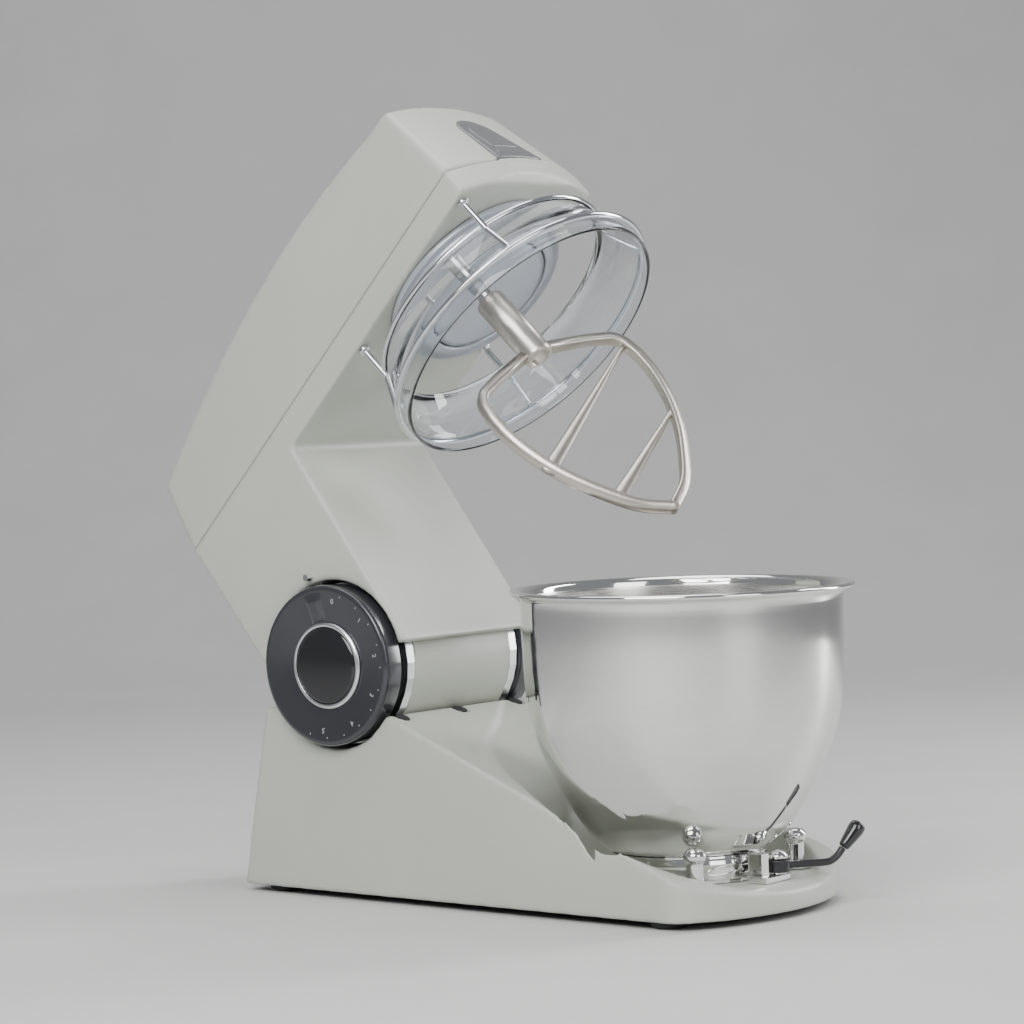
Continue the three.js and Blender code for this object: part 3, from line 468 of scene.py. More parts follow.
soft_rubber = grained("soft_rubber", (0.02, 0.02, 0.022), (0.65, 0.85), 0.15, 1400.0, 0.25)
badge_grey = grained("badge_grey", (0.16, 0.16, 0.17), (0.30, 0.40), 0.05, 1200.0, 0.05, 0.2)
mark_grey = grained("mark_grey", (0.42, 0.43, 0.45), (0.35, 0.45), 0.05, 900.0, 0.02)
plain_steel = lined("plain_steel", (0.62, 0.62, 0.61), (0.22, 0.34), 0.05, 20.0, 1600.0, 0.05, HEAD_UP)
bronze = grained("bronze", (0.55, 0.36, 0.16), (0.3, 0.42), 0.08, 900.0, 0.1, 1.0)
winding = lined("winding", (0.55, 0.25, 0.10), (0.25, 0.4), 0.15, 60.0, 1300.0, 0.3, HEAD_UP)
green_board = grained("green_board", (0.02, 0.13, 0.06), (0.35, 0.5), 0.15, 700.0, 0.08)

clear, tree, shader = new_material("clear_plastic", (0.93, 0.965, 1.0), 0.02, Transmission_Weight=1.0, IOR=1.49)
place = node(tree, "ShaderNodeTexCoord")
group = node(tree, "ShaderNodeGroup", node_tree=grain)
group.inputs["Scale"].default_value = 60.0
wire(tree, place.outputs["Object"], group.inputs["Vector"])
wire(tree, spread(tree, group.outputs["Tone"], 0.01, 0.05), shader.inputs["Roughness"])
bumped(tree, shader, group.outputs["Grain"], 0.03, 0.0004)


def wears(thing, *materials):
    """Gives a piece its material slots."""
    thing.data.materials.clear()
    for material in materials:
        thing.data.materials.append(material)
    return thing


print(len(bpy.data.materials), "materials")

# %% [markdown]
# ## The base
# The base is a wedge: a level shelf under the hinge, a slope that runs to a rounded nose, and a round
# dish in the slope that the bowl stands in. Its rear wall leans forward. The block is what the side
# outline and the plan have in common, with the dish, the drum's hollow and the small sockets cut away.

# %% Base casting
BASE_HALF = 96.6  # half the base's width at its front
BASE_FRONT = -58.5  # where the straight sides end and the nose begins
BASE_REAR = 349.7  # the foot of the rear wall
SHELF_FRONT, SHELF_REAR, SHELF_TOP = 204.9, 321.8, 134.2
NOSE_TOP = 30.7  # the slope's height at BASE_FRONT
BUMPERS_X, BUMPERS_Y = (-64.5, 0, 64.5), 197.6
ROOM_RADIUS = 60  # the hollow round the drum


def slope(y):
    """The height of the slope, which rises 0.393 for each millimetre towards the rear."""
    return SHELF_TOP - (SHELF_TOP - NOSE_TOP) / (SHELF_FRONT - BASE_FRONT) * (SHELF_FRONT - y)


def base_plan(inset=0.0, corner=15.0):
    """The base from above: an arc for a nose, rounded into straight sides that draw in to the rear."""
    sag = 32.6
    radius = (BASE_HALF**2 + sag**2) / (2 * sag) - inset
    half = np.arcsin((BASE_HALF - inset) / radius)
    a = np.linspace(-np.pi / 2 - half, -np.pi / 2 + half, 41)
    nose = np.stack([radius * np.cos(a), -91.1 + inset + radius + radius * np.sin(a)], -1)
    rear = [[69.2 - inset, BASE_REAR - inset], [-69.2 + inset, BASE_REAR - inset]]
    ends = [rear[1], [-BASE_HALF + inset, BASE_FRONT], *nose[6:-6], [BASE_HALF - inset, BASE_FRONT], rear[0]]
    return rounded_path(np.array(ends), corner, 7)


side_view = [
    [BASE_REAR, 4],
    [SHELF_REAR, SHELF_TOP],
    [SHELF_FRONT, SHELF_TOP],
    [-95, slope(-95)],
    [-95, 4],
]
dish_wall = [[87.5, 22], [89.5, 32], [91.5, 46], [94, 60], [98, 69.5], [103, 77.5], [110, 85]]
dish_slope = [[118, 91], [130, 99.5], [143, 107.5], [175, 124], [175, 200]]
dish = [[0, 22], *dish_wall, *dish_slope, [0, 200]]
rear_lean = np.arctan2(BASE_REAR - SHELF_REAR, SHELF_TOP - 4)


def on_rear(points):
    """Points laid flat on the leaning rear wall, at the power inlet."""
    c, s = np.cos(rear_lean), np.sin(rear_lean)
    y, z = points[:, 1] * c - points[:, 2] * s, points[:, 1] * s + points[:, 2] * c
    return np.stack([points[:, 0], y + BASE_REAR - 30 * np.tan(rear_lean), z + 34], -1)


def box_block(name, x, y, z, move=lambda p: p):
    """A plain block for cutting, from its three ranges."""
    corners = [[x[0], y[0]], [x[1], y[0]], [x[1], y[1]], [x[0], y[1]]]
    block = prism(name, corners, z[0], z[1], [0, 1, 2])
    block.data.vertices.foreach_set("co", move(corners_of(block.data)).ravel())
    return block


def bumper_socket(x):
    """A round socket square to the slope."""
    lean = np.arctan((SHELF_TOP - NOSE_TOP) / (SHELF_FRONT - BASE_FRONT))
    rim = np.array([[0, -7], [5.7, -7], [5.7, 6], [0, 6]], float)

    def stand(points):
        y, z = points[..., 1], points[..., 2]
        away = BUMPERS_Y + y * np.cos(lean) - z * np.sin(lean)
        up = slope(BUMPERS_Y) + y * np.sin(lean) + z * np.cos(lean)
        return np.stack([points[..., 0] + x, away, up], -1)

    return solid_turn("socket", rim, 24, stand)


base_piece = carved(
    "base_casting",
    [
        prism("wedge", side_view, -110, 110, [1, 2, 0]),
        prism("plan", base_plan(), -5, 210, [0, 1, 2]),
    ],
    [
        solid_turn("dish", dish, 160),
        solid_turn("drum_room", [[0, -120], [ROOM_RADIUS, -120], [ROOM_RADIUS, 120], [0, 120]], 128, on_hinge),
        prism("plate_room", base_plan(5.5), -5, 9, [0, 1, 2]),
        box_block("inlet_room", (-48.3, -19.7), (-20, 6), (-11.3, 11.3), on_rear),
        *[bumper_socket(x) for x in BUMPERS_X],
    ],
    1.7,
    from_axis,
    12,
)
belongs(base_piece, "base", "base_shell")
wears(base_piece, sage_paint)

# %% [markdown]
# ## The arm and the head cover
# The arm is an angled casting: a column that rises from the hinge and a chassis that carries the
# drive. A separate cover closes it from above, with sides that draw in and a top that is arched both
# ways. The nose bulges forward. Cover and arm meet in a fine line, so both are held crisp there.

# %% Arm
SEAM, UNDER = 319.3, 298.7
HEAD_HALF = 74.0  # half the head's width at the line
COVER_RISE = 77.0  # the height over which the cover draws in
SIDE_DRAW, NOSE_DRAW, BULGE_DRAW = 13.0, 10.5, 9.0
AHEAD = -120  # a place clear of the nose


def head_plan(inset=0.0, bulge=14.0):
    """The head from above: straight sides and a nose that is an arc."""
    half = HEAD_HALF - inset
    radius = (HEAD_HALF**2 + bulge**2) / (2 * bulge)
    a = np.linspace(-1, 1, 41) * np.arcsin(half / radius)
    nose = np.stack([radius * np.sin(a), -77 - bulge + inset + radius - radius * np.cos(a)], -1)
    return np.vstack([[[-half, 400]], nose, [[half, 400]]])


arm_side = [
    *([-95, SEAM - 0.2], [-95, 310], [-91.5, 305], [-84.4, UNDER], [162.4, UNDER]),
    *([192.2, 131.6], [251, 167], [299, 214.9], [284.6, SEAM - 0.2]),
]


def at_seam(points):
    """True within 2.6 mm of the line where the cover meets the arm."""
    return np.abs(points[:, 2] - SEAM) < 2.6


arm_piece = carved(
    "arm_casting",
    [prism("arm_side", arm_side, -110, 110, [1, 2, 0]), prism("arm_plan", head_plan(), 100, 400, [0, 1, 2])],
    [
        solid_turn("drum_room", [[0, -120], [ROOM_RADIUS, -120], [ROOM_RADIUS, 120], [0, 120]], 128, on_hinge),
        solid_turn("drive_room", [[0, 290], [62.8, 290], [62.8, 314], [0, 314]], 96),
    ],
    1.7,
    tipped,
    12,
    at_seam,
)
belongs(arm_piece, "arm", "arm_chassis")
wears(arm_piece, sage_paint)

# %% [markdown]
# ## The head cover
# The cover could be modelled by hand, corner by corner. It is easier to cut it upright from its side
# view and its plan, and then to draw its sides and nose in as it rises.

# %% Head cover
def narrowed(points):
    """Draws the cover in as it rises, by 13 mm a side over 77 mm, and arches its top across."""
    rise = np.clip((points[:, 2] - SEAM) / COVER_RISE, 0, 1.3)
    x = points[:, 0] * (1 - SIDE_DRAW / HEAD_HALF * rise)
    crown = 4.0 * rise * (1 - (points[:, 0] / HEAD_HALF) ** 2)
    return np.stack([x, points[:, 1], points[:, 2] + crown], -1)


steps = np.linspace(0, 1, 25)[:, None]
arch = (1 - steps) * [[-66.5, 395.4]] + steps * [[275.4, 377.0]]
arch[:, 1] += (4 * 20.0 * steps * (1 - steps))[:, 0]
cover_side = np.vstack([[[AHEAD, SEAM + 0.2]], [[AHEAD, 397]], arch, [[285.0, SEAM + 0.2]]])
cover_side[2, 0] = AHEAD


def cover_plan(points):
    """Leans the nose back as it rises: 10.5 mm at the sides and 19.5 mm at the middle."""
    rise = np.clip((points[:, 2] - SEAM) / COVER_RISE, 0, 1.3)
    front = np.clip((60 - points[:, 1]) / 140.0, 0, 1)
    bulge = 1 - (points[:, 0] / HEAD_HALF) ** 2
    y = points[:, 1] + front * rise * (NOSE_DRAW + BULGE_DRAW * bulge)
    return np.stack([points[:, 0], y, points[:, 2]], -1)


cover_piece = carved(
    "head_cover_casting",
    [prism("cover_side", cover_side, -110, 110, [1, 2, 0]), prism("cover_plan", head_plan(), 300, 440, [0, 1, 2])],
    [],
    1.9,
    lambda p: tipped(narrowed(cover_plan(p))),
    12,
    at_seam,
)
belongs(cover_piece, "arm", "head_cover")
wears(cover_piece, sage_paint)


def nose_y(x, z):
    """The front of the head: a bulge of 14 mm at the line, easing back and flatter above it."""
    rise = np.clip((z - SEAM) / COVER_RISE, 0, 1.3)
    fall = np.clip((SEAM - z) / 20.6, 0, 1)
    bulge = 1 - (x / HEAD_HALF) ** 2
    return -77 - 14 * bulge + rise * (NOSE_DRAW + BULGE_DRAW * bulge) + 6.4 * fall**2


# %% [markdown]
# ## The nose plate
# On the nose a dark plate with a round top sits above the line, and a half-round tab in the body
# colour below it. Both follow the bulge, so they are grids laid on the nose: rings that shrink
# towards the middle, raised by a little that falls to nothing at the rim. A raised round field and a
# plain band finish the plate.

# %% Plate and tab
def laid_on_nose(name, rim, rise, edge, material):
    """A thin plate over the nose: rings from its rim to its middle, raised with a round edge."""
    rim = np.asarray(rim, float)
    middle = rim.mean(0)
    inward = np.concatenate([[0, 0, 0.02, 0.05, 0.09], np.linspace(0.16, 1, 10)])
    height = np.concatenate([[-2.5, 0, 0.62, 0.92, 1], np.ones(10)]) * rise
    flat = middle + (rim - middle)[None] * (1 - inward)[:, None, None]
    y = nose_y(flat[..., 0], flat[..., 1]) - height[:, None]
    points = np.stack([flat[..., 0], y, flat[..., 1]], -1)
    faces = grid_faces(points.shape[0], points.shape[1], False, True).tolist()
    thing = make_object(name, tipped(points).reshape(-1, 3), faces + [list(range(points.shape[1]))])
    return wears(thing, material)


def arch_rim(half, low, high, lean=0.74, count=22):
    """A round-topped outline: straight sides that lean in to an arc whose top is at high."""
    top_half = half * lean
    a = np.linspace(0, np.pi, count)
    arc = np.stack([top_half * np.cos(a), high - top_half + top_half * np.sin(a)], -1)
    feet = np.linspace(-half, half, 15)
    sides_up = np.linspace([half, low], [top_half, high - top_half], 8)[1:-1]
    sides_down = np.linspace([-top_half, high - top_half], [-half, low], 8)[1:-1]
    return np.vstack([np.stack([feet, 0 * feet + low], -1), sides_up, arc, sides_down])


a = np.linspace(np.pi, 2 * np.pi, 30)
tab_round = np.stack([25 * np.cos(a), SEAM - 0.8 + 17 * np.sin(a)], -1)
tab_edge = np.stack([np.linspace(25, -25, 14)[1:-1], np.full(12, SEAM - 0.8)], -1)
tab_rim = np.vstack([tab_round, tab_edge])
plate = laid_on_nose("nose_plate", arch_rim(25, SEAM + 0.6, 378), 1.5, 0.1, badge_grey)
disc = laid_on_nose("nose_plate_round", arch_rim(15, 335, 369, 0.9), 2.1, 0.1, badge_grey)
band = laid_on_nose("nose_plate_band", [[-19, 324], [19, 324], [18, 331], [-18, 331]], 2.0, 0.1, badge_grey)
tab = laid_on_nose("nose_tab", tab_rim, 1.2, 0.1, sage_paint)
nose_piece = joined("nose_cap", plate, disc, band, tab)
belongs(nose_piece, "nose_cap", "hub_cover")

# %% [markdown]
# ## The bowl
# The bowl is spun steel: one wall of even thickness, a rolled rim and a ring welded on for a foot.
# A smooth curve through a few measured radii gives the outside, and the inside follows it. Outside
# it is polished to a mirror, inside it keeps the fine lines of the spinning.

# %% Bowl
def smooth_curve(points, count):
    """A Catmull-Rom curve through the points, evenly sampled by point number."""
    points = np.asarray(points, float)
    padded = np.vstack([2 * points[0] - points[1], points, 2 * points[-1] - points[-2]])
    t = np.linspace(0, len(points) - 1, count)
    i = np.minimum(t.astype(int), len(points) - 2)
    u = (t - i)[:, None]
    p0, p1, p2, p3 = padded[i], padded[i + 1], padded[i + 2], padded[i + 3]
    second = 2 * p0 - 5 * p1 + 4 * p2 - p3
    third = 3 * p1 - p0 - 3 * p2 + p3
    return 0.5 * (2 * p1 + (p2 - p0) * u + second * u**2 + third * u**3)


bowl_bottom = [[0, 36.7], [30, 36.9], [45, 38.4], [59, 44.6], [71, 57.5], [82.5, 76]]
bowl_side = [[92, 94], [100, 112], [105.3, 129], [108.4, 148], [109.9, 180], [110.5, 210]]
outside = smooth_curve([*bowl_bottom, *bowl_side], 90)
lip_under = [[110.5, 210], [110.7, 215], [113.2, 217.2], [117.3, 217.4], [119, 219.4]]
lip_over = [[117.6, 221.4], [113.2, 221.3], [110.6, 219], [109.5, 214], [109.2, 208]]
lip = rounded_path([*lip_under, *lip_over], 1.2, 4)
inside = outside[::-1].copy()
across = np.gradient(inside, axis=0)
across = np.stack([across[:, 1], -across[:, 0]], -1) / np.linalg.norm(across, axis=1)[:, None]
inward = across[:, :1] * -inside[:, :1] + across[:, 1:] * (150 - inside[:, 1:])
inside = inside + 1.3 * across * np.sign(inward)
inside = inside[(inside[:, 1] < 207) & (inside[:, 0] > 0.5)]
profile = np.vstack([outside[:-1], lip, inside, [[0, 38.1]]])
bowl_piece = lathe("bowl_shell", profile, from_axis, 192)
wears(bowl_piece, mirror_steel, bowl_inside)
normals = np.empty(len(bowl_piece.data.polygons) * 3)
centres = np.empty(len(bowl_piece.data.polygons) * 3)
bowl_piece.data.polygons.foreach_get("normal", normals)
bowl_piece.data.polygons.foreach_get("center", centres)
normals, centres = normals.reshape(-1, 3), centres.reshape(-1, 3) * 1000 - [0, AXIS_Y, 0]
facing_in = (normals[:, 0] * centres[:, 0] + normals[:, 1] * centres[:, 1] < 0) & (centres[:, 2] < 216)
facing_in |= (normals[:, 2] > 0.5) & (centres[:, 2] < 100)
bowl_piece.data.polygons.foreach_set("material_index", facing_in.astype(np.int32))
belongs(bowl_piece, "bowl", "bowl")
print("bowl", len(bowl_piece.data.polygons), "faces")

# %% [markdown]
# ## The bowl's foot, its seat and the locking posts
# The foot is a plain ring with three sloping slots, which turn it tight under the two posts. Ring and
# posts are turned pieces with rounded corners, and each slot is shown by a raised bead only; the dark cut inside it
# is left out.

# %% Foot ring, seat and posts
foot_outer = [[51.6, 24.7], [53.4, 24.7], [53.4, 33], [54.2, 35], [53.6, 38], [53.4, 41]]
foot_inner = [[51.6, 40.4], [51.6, 32], [51.6, 24.7]]
foot_profile = rounded_path([*foot_outer, *foot_inner], 0.7, 4)
foot = lathe("foot_ring", foot_profile, from_axis, 160, True)
wears(foot, mirror_steel)


def slot_bead(middle):
    """A bead round a sloping slot on the ring: a flattened loop wrapped on its radius."""
    t = np.linspace(0, 2 * np.pi, 48, endpoint=False)
    along = 13.0 * np.sign(np.cos(t)) * np.abs(np.cos(t)) ** 0.7
    high = 31.5 + 2.6 * np.sin(t) + along * 0.12
    angle = middle + along / 53.4
    path = np.stack([53.5 * np.cos(angle), 53.5 * np.sin(angle), high], -1)
    out = np.stack([np.cos(angle), np.sin(angle), 0 * angle], -1)
    return wears(swept("bead", path, circle(0.55, 8), out, from_axis, True), mirror_steel)


beads = [slot_bead(np.radians(v)) for v in (-118, -40, 62, 150)]
foot_piece = joined("bowl_foot", foot, *beads)
belongs(foot_piece, "bowl", "bowl_foot_ring")

post_base = [[0, 22.3], [10.3, 22.3], [10.3, 25], [8.6, 26.3], [6.1, 27.4]]
post_top = [[5.9, 40.5], [7.8, 42.6], [7.9, 46.4], [5.2, 49.6], [0, 50.4]]
for name, x in (("left", -60.0), ("right", 60.0)):
    post = rounded_path([*post_base, *post_top], 1.3, 5)
    piece = lathe("post_" + name, post, lambda p, x=x: from_axis(p + [x, -47.0, 0.0]), 48)
    wears(piece, mirror_steel)
    belongs(piece, "base", "seat_post_" + name)

# %% [markdown]
# ## The clamp
# A chrome bracket carries a domed pin, and a black lever swings on it with a bent-up end and a
# tapered grip. The lever is a round bar carried along a smooth curve.

# %% Bracket, lever and grip
PIN = np.array([5.0, -69.5, 0.0])
pin_neck = [[0, 26.8], [6.2, 26.8], [6.2, 28], [3.7, 28.6], [3.7, 36.4]]
pin_profile = rounded_path([*pin_neck, [6.9, 36.8], [7.2, 39], [5.2, 41.6], [0, 43]], 0.9, 5)
dome = wears(lathe("dome", pin_profile, lambda p: from_axis(p + PIN), 48), mirror_steel)
block_front = [[-17, -74.5], [14, -74.5], [14, -61.5]]
block_rear = [[-4, -61.5], [-7, -58.5], [-17, -58.5], [-17, -74.5]]
block_plan = rounded_path([*block_front, *block_rear], 2.5, 4)
block = prism("block", block_plan[:-1], 22.3, 26.5, [0, 1, 2])
stop_corners = [[-17, -71.5], [-7.3, -71.5], [-7.3, -61.0], [-17, -59.0], [-17, -71.5]]
stop_plan = rounded_path(stop_corners, 2.2, 4)
stop_block = prism("stop", stop_plan[:-1], 26.4, 42.5, [0, 1, 2])
for thing in (block, stop_block):
    thing.data.vertices.foreach_set("co", from_axis(corners_of(thing.data)).ravel())
    soften = thing.modifiers.new("soften", "BEVEL")
    soften.width, soften.segments, soften.limit_method = 0.0011, 3, "ANGLE"
    thing.data = bpy.data.meshes.new_from_object(thing.evaluated_get(bpy.context.evaluated_depsgraph_get()))
    thing.modifiers.clear()
    wears(thing, mirror_steel)
    thing.data.polygons.foreach_set("use_smooth", [False] * len(thing.data.polygons))
bracket_piece = joined("clamp_block", block, stop_block, dome)
belongs(bracket_piece, "base", "clamp_bracket")

level_run = [[5, -2, 31.9], [12, -6, 31.8], [22, -11, 31.5], [31, -16, 31.2]]
bent_end = [[36, -18.5, 31.8], [41, -21, 35], [44.6, -22.8, 39.6]]
route = smooth_curve(PIN + [*level_run, *bent_end], 40)
rod = wears(swept("rod", route, circle(2.5, 16), [0, 0, 1.0], from_axis), lever_black)
eye_profile = rounded_path([[4.1, 27.8], [8.1, 27.8], [8.1, 36.2], [4.1, 36.2], [4.1, 27.8]], 1.0, 4)
hub = wears(lathe("eye", eye_profile[:-1], lambda p: from_axis(p + PIN), 48, True), lever_black)
lever_piece = joined("clamp_arm", rod, hub)
belongs(lever_piece, "clamp", "clamp_lever")

lean = np.array([4.0, -2.0, 5.0]) / np.linalg.norm([4.0, -2.0, 5.0])
grip_start = PIN + [45, -23, 40]


def along_grip(points):
    """Stands a turned shape on the lever's bent end, along its lean."""
    one = np.cross(lean, [0, 0, 1.0])
    one /= np.linalg.norm(one)
    two = np.cross(lean, one)
    return from_axis(grip_start + points[..., :1] * one + points[..., 1:2] * two + points[..., 2:] * lean)


grip_profile = rounded_path([[0, 0.3], [3.6, 0.3], [4.3, 4], [5.9, 16], [5.4, 19.5], [3.2, 21], [0, 21.3]], 1.4, 5)
grip_piece = wears(lathe("grip", grip_profile, along_grip, 48), gloss_black)
belongs(grip_piece, "clamp", "clamp_knob")

# %% [markdown]
# ## The guard
# Two polished hoops, joined by short ribs, carry a clear band that keeps the splashes in. Posts hold
# the upper hoop under the head, and each ends in a small round head. The hoops are wires carried round
# a circle, and the band is one turned wall with a thick rolled lip.

# %% Hoops, ribs and posts
HOOPS = ((94.4, 273.0), (107.3, 239.7))
wires = []
for radius, height in HOOPS:
    a = np.linspace(0, 2 * np.pi, 160, endpoint=False)
    ring_path = np.stack([radius * np.cos(a), radius * np.sin(a), 0 * a + height], -1)
    wires.append(swept("hoop", ring_path, circle(2.15, 14), [0, 0, 1.0], tipped, True))
for angle in np.radians([45, 135, 225, 315]):
    ray = np.array([np.cos(angle), np.sin(angle), 0.0])
    ends = [ray * HOOPS[0][0] + [0, 0, HOOPS[0][1]], ray * HOOPS[1][0] + [0, 0, HOOPS[1][1]]]
    wires.append(swept("rib", np.linspace(*ends, 8), circle(1.9, 12), [-ray[1], ray[0], 0], tipped))
    spot = ray * 95.9
    stem = [[0, 268.6], [2.3, 269], [2.3, 294.4]]
    head = [[4.5, 295], [4.6, 297.6], [2, 298.3], [0, 298.3]]
    profile = rounded_path([*stem, *head], 0.7, 4)
    wires.append(lathe("post", profile, lambda p, spot=spot: tipped(p + spot), 28))
for thing in wires:
    wears(thing, hoop_steel)
guard_piece = joined("guard_hoops", *wires)
belongs(guard_piece, "guard", "guard_frame")

# %% [markdown]
# ## The clear band
# The band is a closed wall, so it is one turned profile that meets itself. It has real thickness, so
# that light bends at both of its faces.

# %% Clear band
band_outside = [[91.3, 273.4], [104.1, 239.7], [104.9, 233], [104.9, 227.6]]
band_inside = [[102.9, 227.6], [102.9, 233], [102.2, 239.4], [89.5, 272.6], [91.3, 273.4]]
band_profile = rounded_path([*band_outside, *band_inside], 1.0, 4)
shield_piece = wears(lathe("splash_band", band_profile[:-1], tipped, 192, True), clear)
belongs(shield_piece, "guard", "guard_shield")

# %% [markdown]
# ## The beater
# The flat beater is cast: a tube for a hub, whose slot across its top is left out here, a loop that spreads
# into two shoulders and comes to a point, and two thin fins across it that widen as they go down. The loop is a
# rounded bar carried along its own curve, in the plane of the beater.

# %% Beater
ORBIT = 30 * np.array([np.cos(np.radians(-157.6)), np.sin(np.radians(-157.6)), 0.0])
flat = np.radians(-26.3)
PLANE = np.array([np.cos(flat), np.sin(flat), 0.0])
NORMAL = np.array([-np.sin(flat), np.cos(flat), 0.0])


def in_plane(across, height, out=0.0):
    """A point of the beater from how far it is across its plane, its height, and how far out of it."""
    across, height, out = np.broadcast_arrays(np.asarray(across, float), height, out)
    return ORBIT + across[..., None] * PLANE + out[..., None] * NORMAL + height[..., None] * [0, 0, 1.0]


shoulder = [[9, 205], [38, 197.5], [57, 190.5], [62.3, 184], [64.6, 170]]
side_bar = [[64, 151], [59, 127.5], [49.8, 104.5], [36.5, 82.5], [20.5, 62], [0, 48.2]]
half = np.array([*shoulder, *side_bar])
right_half = np.vstack([rounded_path(half[:5], 6, 6)[:-1], smooth_curve(half[4:], 60)])
loop = np.vstack([right_half, right_half[::-1][1:] * [-1, 1]])
bar_corners = [[-3.5, -4.5], [3.5, -4.5], [3.5, 4.5], [-3.5, 4.5], [-3.5, -4.5], [3.5, -4.5]]
bar_outline = rounded_path(bar_corners, 1.6, 4)[4:-1]
tube_outer = [[6.6, 199.3], [10.2, 199.3], [11, 202], [11, 257], [10.2, 258.8]]
tube = rounded_path([*tube_outer, [6.6, 258.8], [6.6, 199.3]], 0.9, 4)
parts = [
    swept("loop", in_plane(loop[:, 0], loop[:, 1]), bar_outline, NORMAL, tipped),
    lathe("tube", tube[:-1], lambda p: tipped(p + ORBIT), 64, True),
]
for x0, z0, x1, z1 in ((60, 180, -59, 114), (56, 118, -31, 72)):
    t = np.linspace(0, 1, 24)
    x, z = x0 + (x1 - x0) * t, z0 + (z1 - z0) * t
    half_high = 1.6 + 3.6 * t
    fan = circle(1.0, 16) * [2.1, 1.0]
    lean_fin = np.array([z1 - z0, -(x1 - x0)]) / np.hypot(x1 - x0, z1 - z0)
    across_fin = x[:, None] + lean_fin[0] * fan[None, :, 1] * half_high[:, None]
    high_fin = z[:, None] + lean_fin[1] * fan[None, :, 1] * half_high[:, None]
    points = in_plane(across_fin, high_fin, np.broadcast_to(fan[None, :, 0], across_fin.shape))
    rows, columns = points.shape[:2]
    faces = grid_faces(rows, columns, False, True).tolist()
    faces += [list(range(columns)), list(range((rows - 1) * columns, rows * columns))]
    parts.append(make_object("fin", tipped(points).reshape(-1, 3), faces))
for thing in parts:
    wears(thing, beater_steel)
beater_piece = joined("flat_beater", *parts)
belongs(beater_piece, "beater", "beater")

# %% [markdown]
# ## The drive's housing
# Under the head a round housing carries the planet drive: a flange, a short drum and a soft shoulder
# down to the turning disc. Each is a turned piece with small round corners.

# %% Housing and carrier
housing_outside = [[48.6, 281.4], [48.6, 275.8], [56, 276.2], [62, 278.6], [66, 285], [66, 293.4]]
housing_flange = [[71, 294], [71, 298.3], [62.2, 298.4], [62.2, 311.6]]
housing_inside = [[14, 311.8], [14, 308], [58, 308], [58, 285], [48.6, 281.4]]
housing = rounded_path([*housing_outside, *housing_flange, *housing_inside], 1.6, 5)
housing_piece = wears(lathe("drive_housing", housing[:-1], tipped, 160, True), satin_drive)
belongs(housing_piece, "arm", "planetary_housing")

disc_profile = [[0, 276.4], [12, 276.2], [44, 275.6], [47.7, 277], [47.7, 280.8]]
shaft_profile = [[9, 281], [9, 286], [8, 290], [8, 355.8], [0, 355.9]]
carrier_profile = rounded_path([*disc_profile, *shaft_profile], 1.3, 5)
carrier_piece = wears(lathe("turning_disc", carrier_profile, tipped, 128), satin_drive)
belongs(carrier_piece, "carrier", "planet_carrier")

# %% [markdown]
# ## The hinge: drum, rings, dial and cap
# The painted drum belongs to the base, and the arm turns on it. Bright plates stand at both ends,
# then a dark groove, then the speed dial on one side and a matching cap on the other. The dial has a
# shallow cone for a face, with a raised grip, fine marks and numbers, round a glossy cap in a thin ring.

# %% Drum and plates
drum = rounded_path([[13.4, -53.6], [58, -53.6], [58, 53.6], [13.4, 53.6], [13.4, -53.6]], 1.0, 4)
drum_piece = wears(lathe("drum", drum[:-1], at_hinge, 160, True), sage_paint)
belongs(drum_piece, "base", "hinge_drum")


def skirted(name, sign, slots):
    """A dial or cap: a skirt with a rounded rim and a face that falls 3 mm to its middle."""
    skirt = [[0, 66.8], [55, 66.8], [57.2, 68.6], [57.3, 82.6], [56.4, 84.6]]
    cone = [[54.2, 85.4], [31, 82.0], [0, 82.0]]
    shape = rounded_path([*skirt, *cone], 1.1, 5) * [1, sign]
    return wears(lathe(name, shape, at_hinge, 192), *slots)


# %% [markdown]
# ## The dial's marks
# Grip, ticks and numbers are worked out by radius and angle, and laid on the cone by one function.

# %% Dial with its marks
dial = skirted("dial", -1, [graphite_gloss])
marks = [dial]


def on_face(radius, angle, out):
    """A point on the dial's face: r sin a towards the front and r cos a up, from straight up."""
    radius, angle, out = np.broadcast_arrays(np.asarray(radius, float), angle, out)
    face = 82.0 + (radius - 31) / 23.2 * 3.4
    return np.stack([-(face + out), HINGE[1] - radius * np.sin(angle), HINGE[2] + radius * np.cos(angle)], -1)


def face_patch(name, radii, angles, rise, material):
    """A raised patch on the cone between two radii and two angles, with sloping edges."""
    u, v = np.linspace(0, 1, 9), np.linspace(0, 1, 9)
    r = radii[0] + (radii[1] - radii[0]) * u[:, None]
    half_turn = (angles[1] - angles[0]) / 2
    a = angles[0] + half_turn + half_turn * (2 * v[None] - 1) * (30 / r) ** 0.6
    r = r + 0 * a
    from_edge = np.minimum(np.minimum(u, 1 - u)[:, None], np.minimum(v, 1 - v)[None])
    lift = rise * np.minimum(1, 4 * from_edge) - 0.15
    faces = grid_faces(9, 9)
    return wears(make_object(name, from_axis(on_face(r, a, lift)).reshape(-1, 3), faces), material)


marks.append(face_patch("grip_tab", (31.5, 52.5), (-0.42, 0.02), 2.6, graphite_gloss))
for index in range(0, 11):
    angle = np.radians(18 + index * 18)
    marks.append(face_patch("tick", (50.4, 51.9), (angle - 0.012, angle + 0.012), 0.35, mark_grey))
dial_piece = joined("speed_dial", *marks)

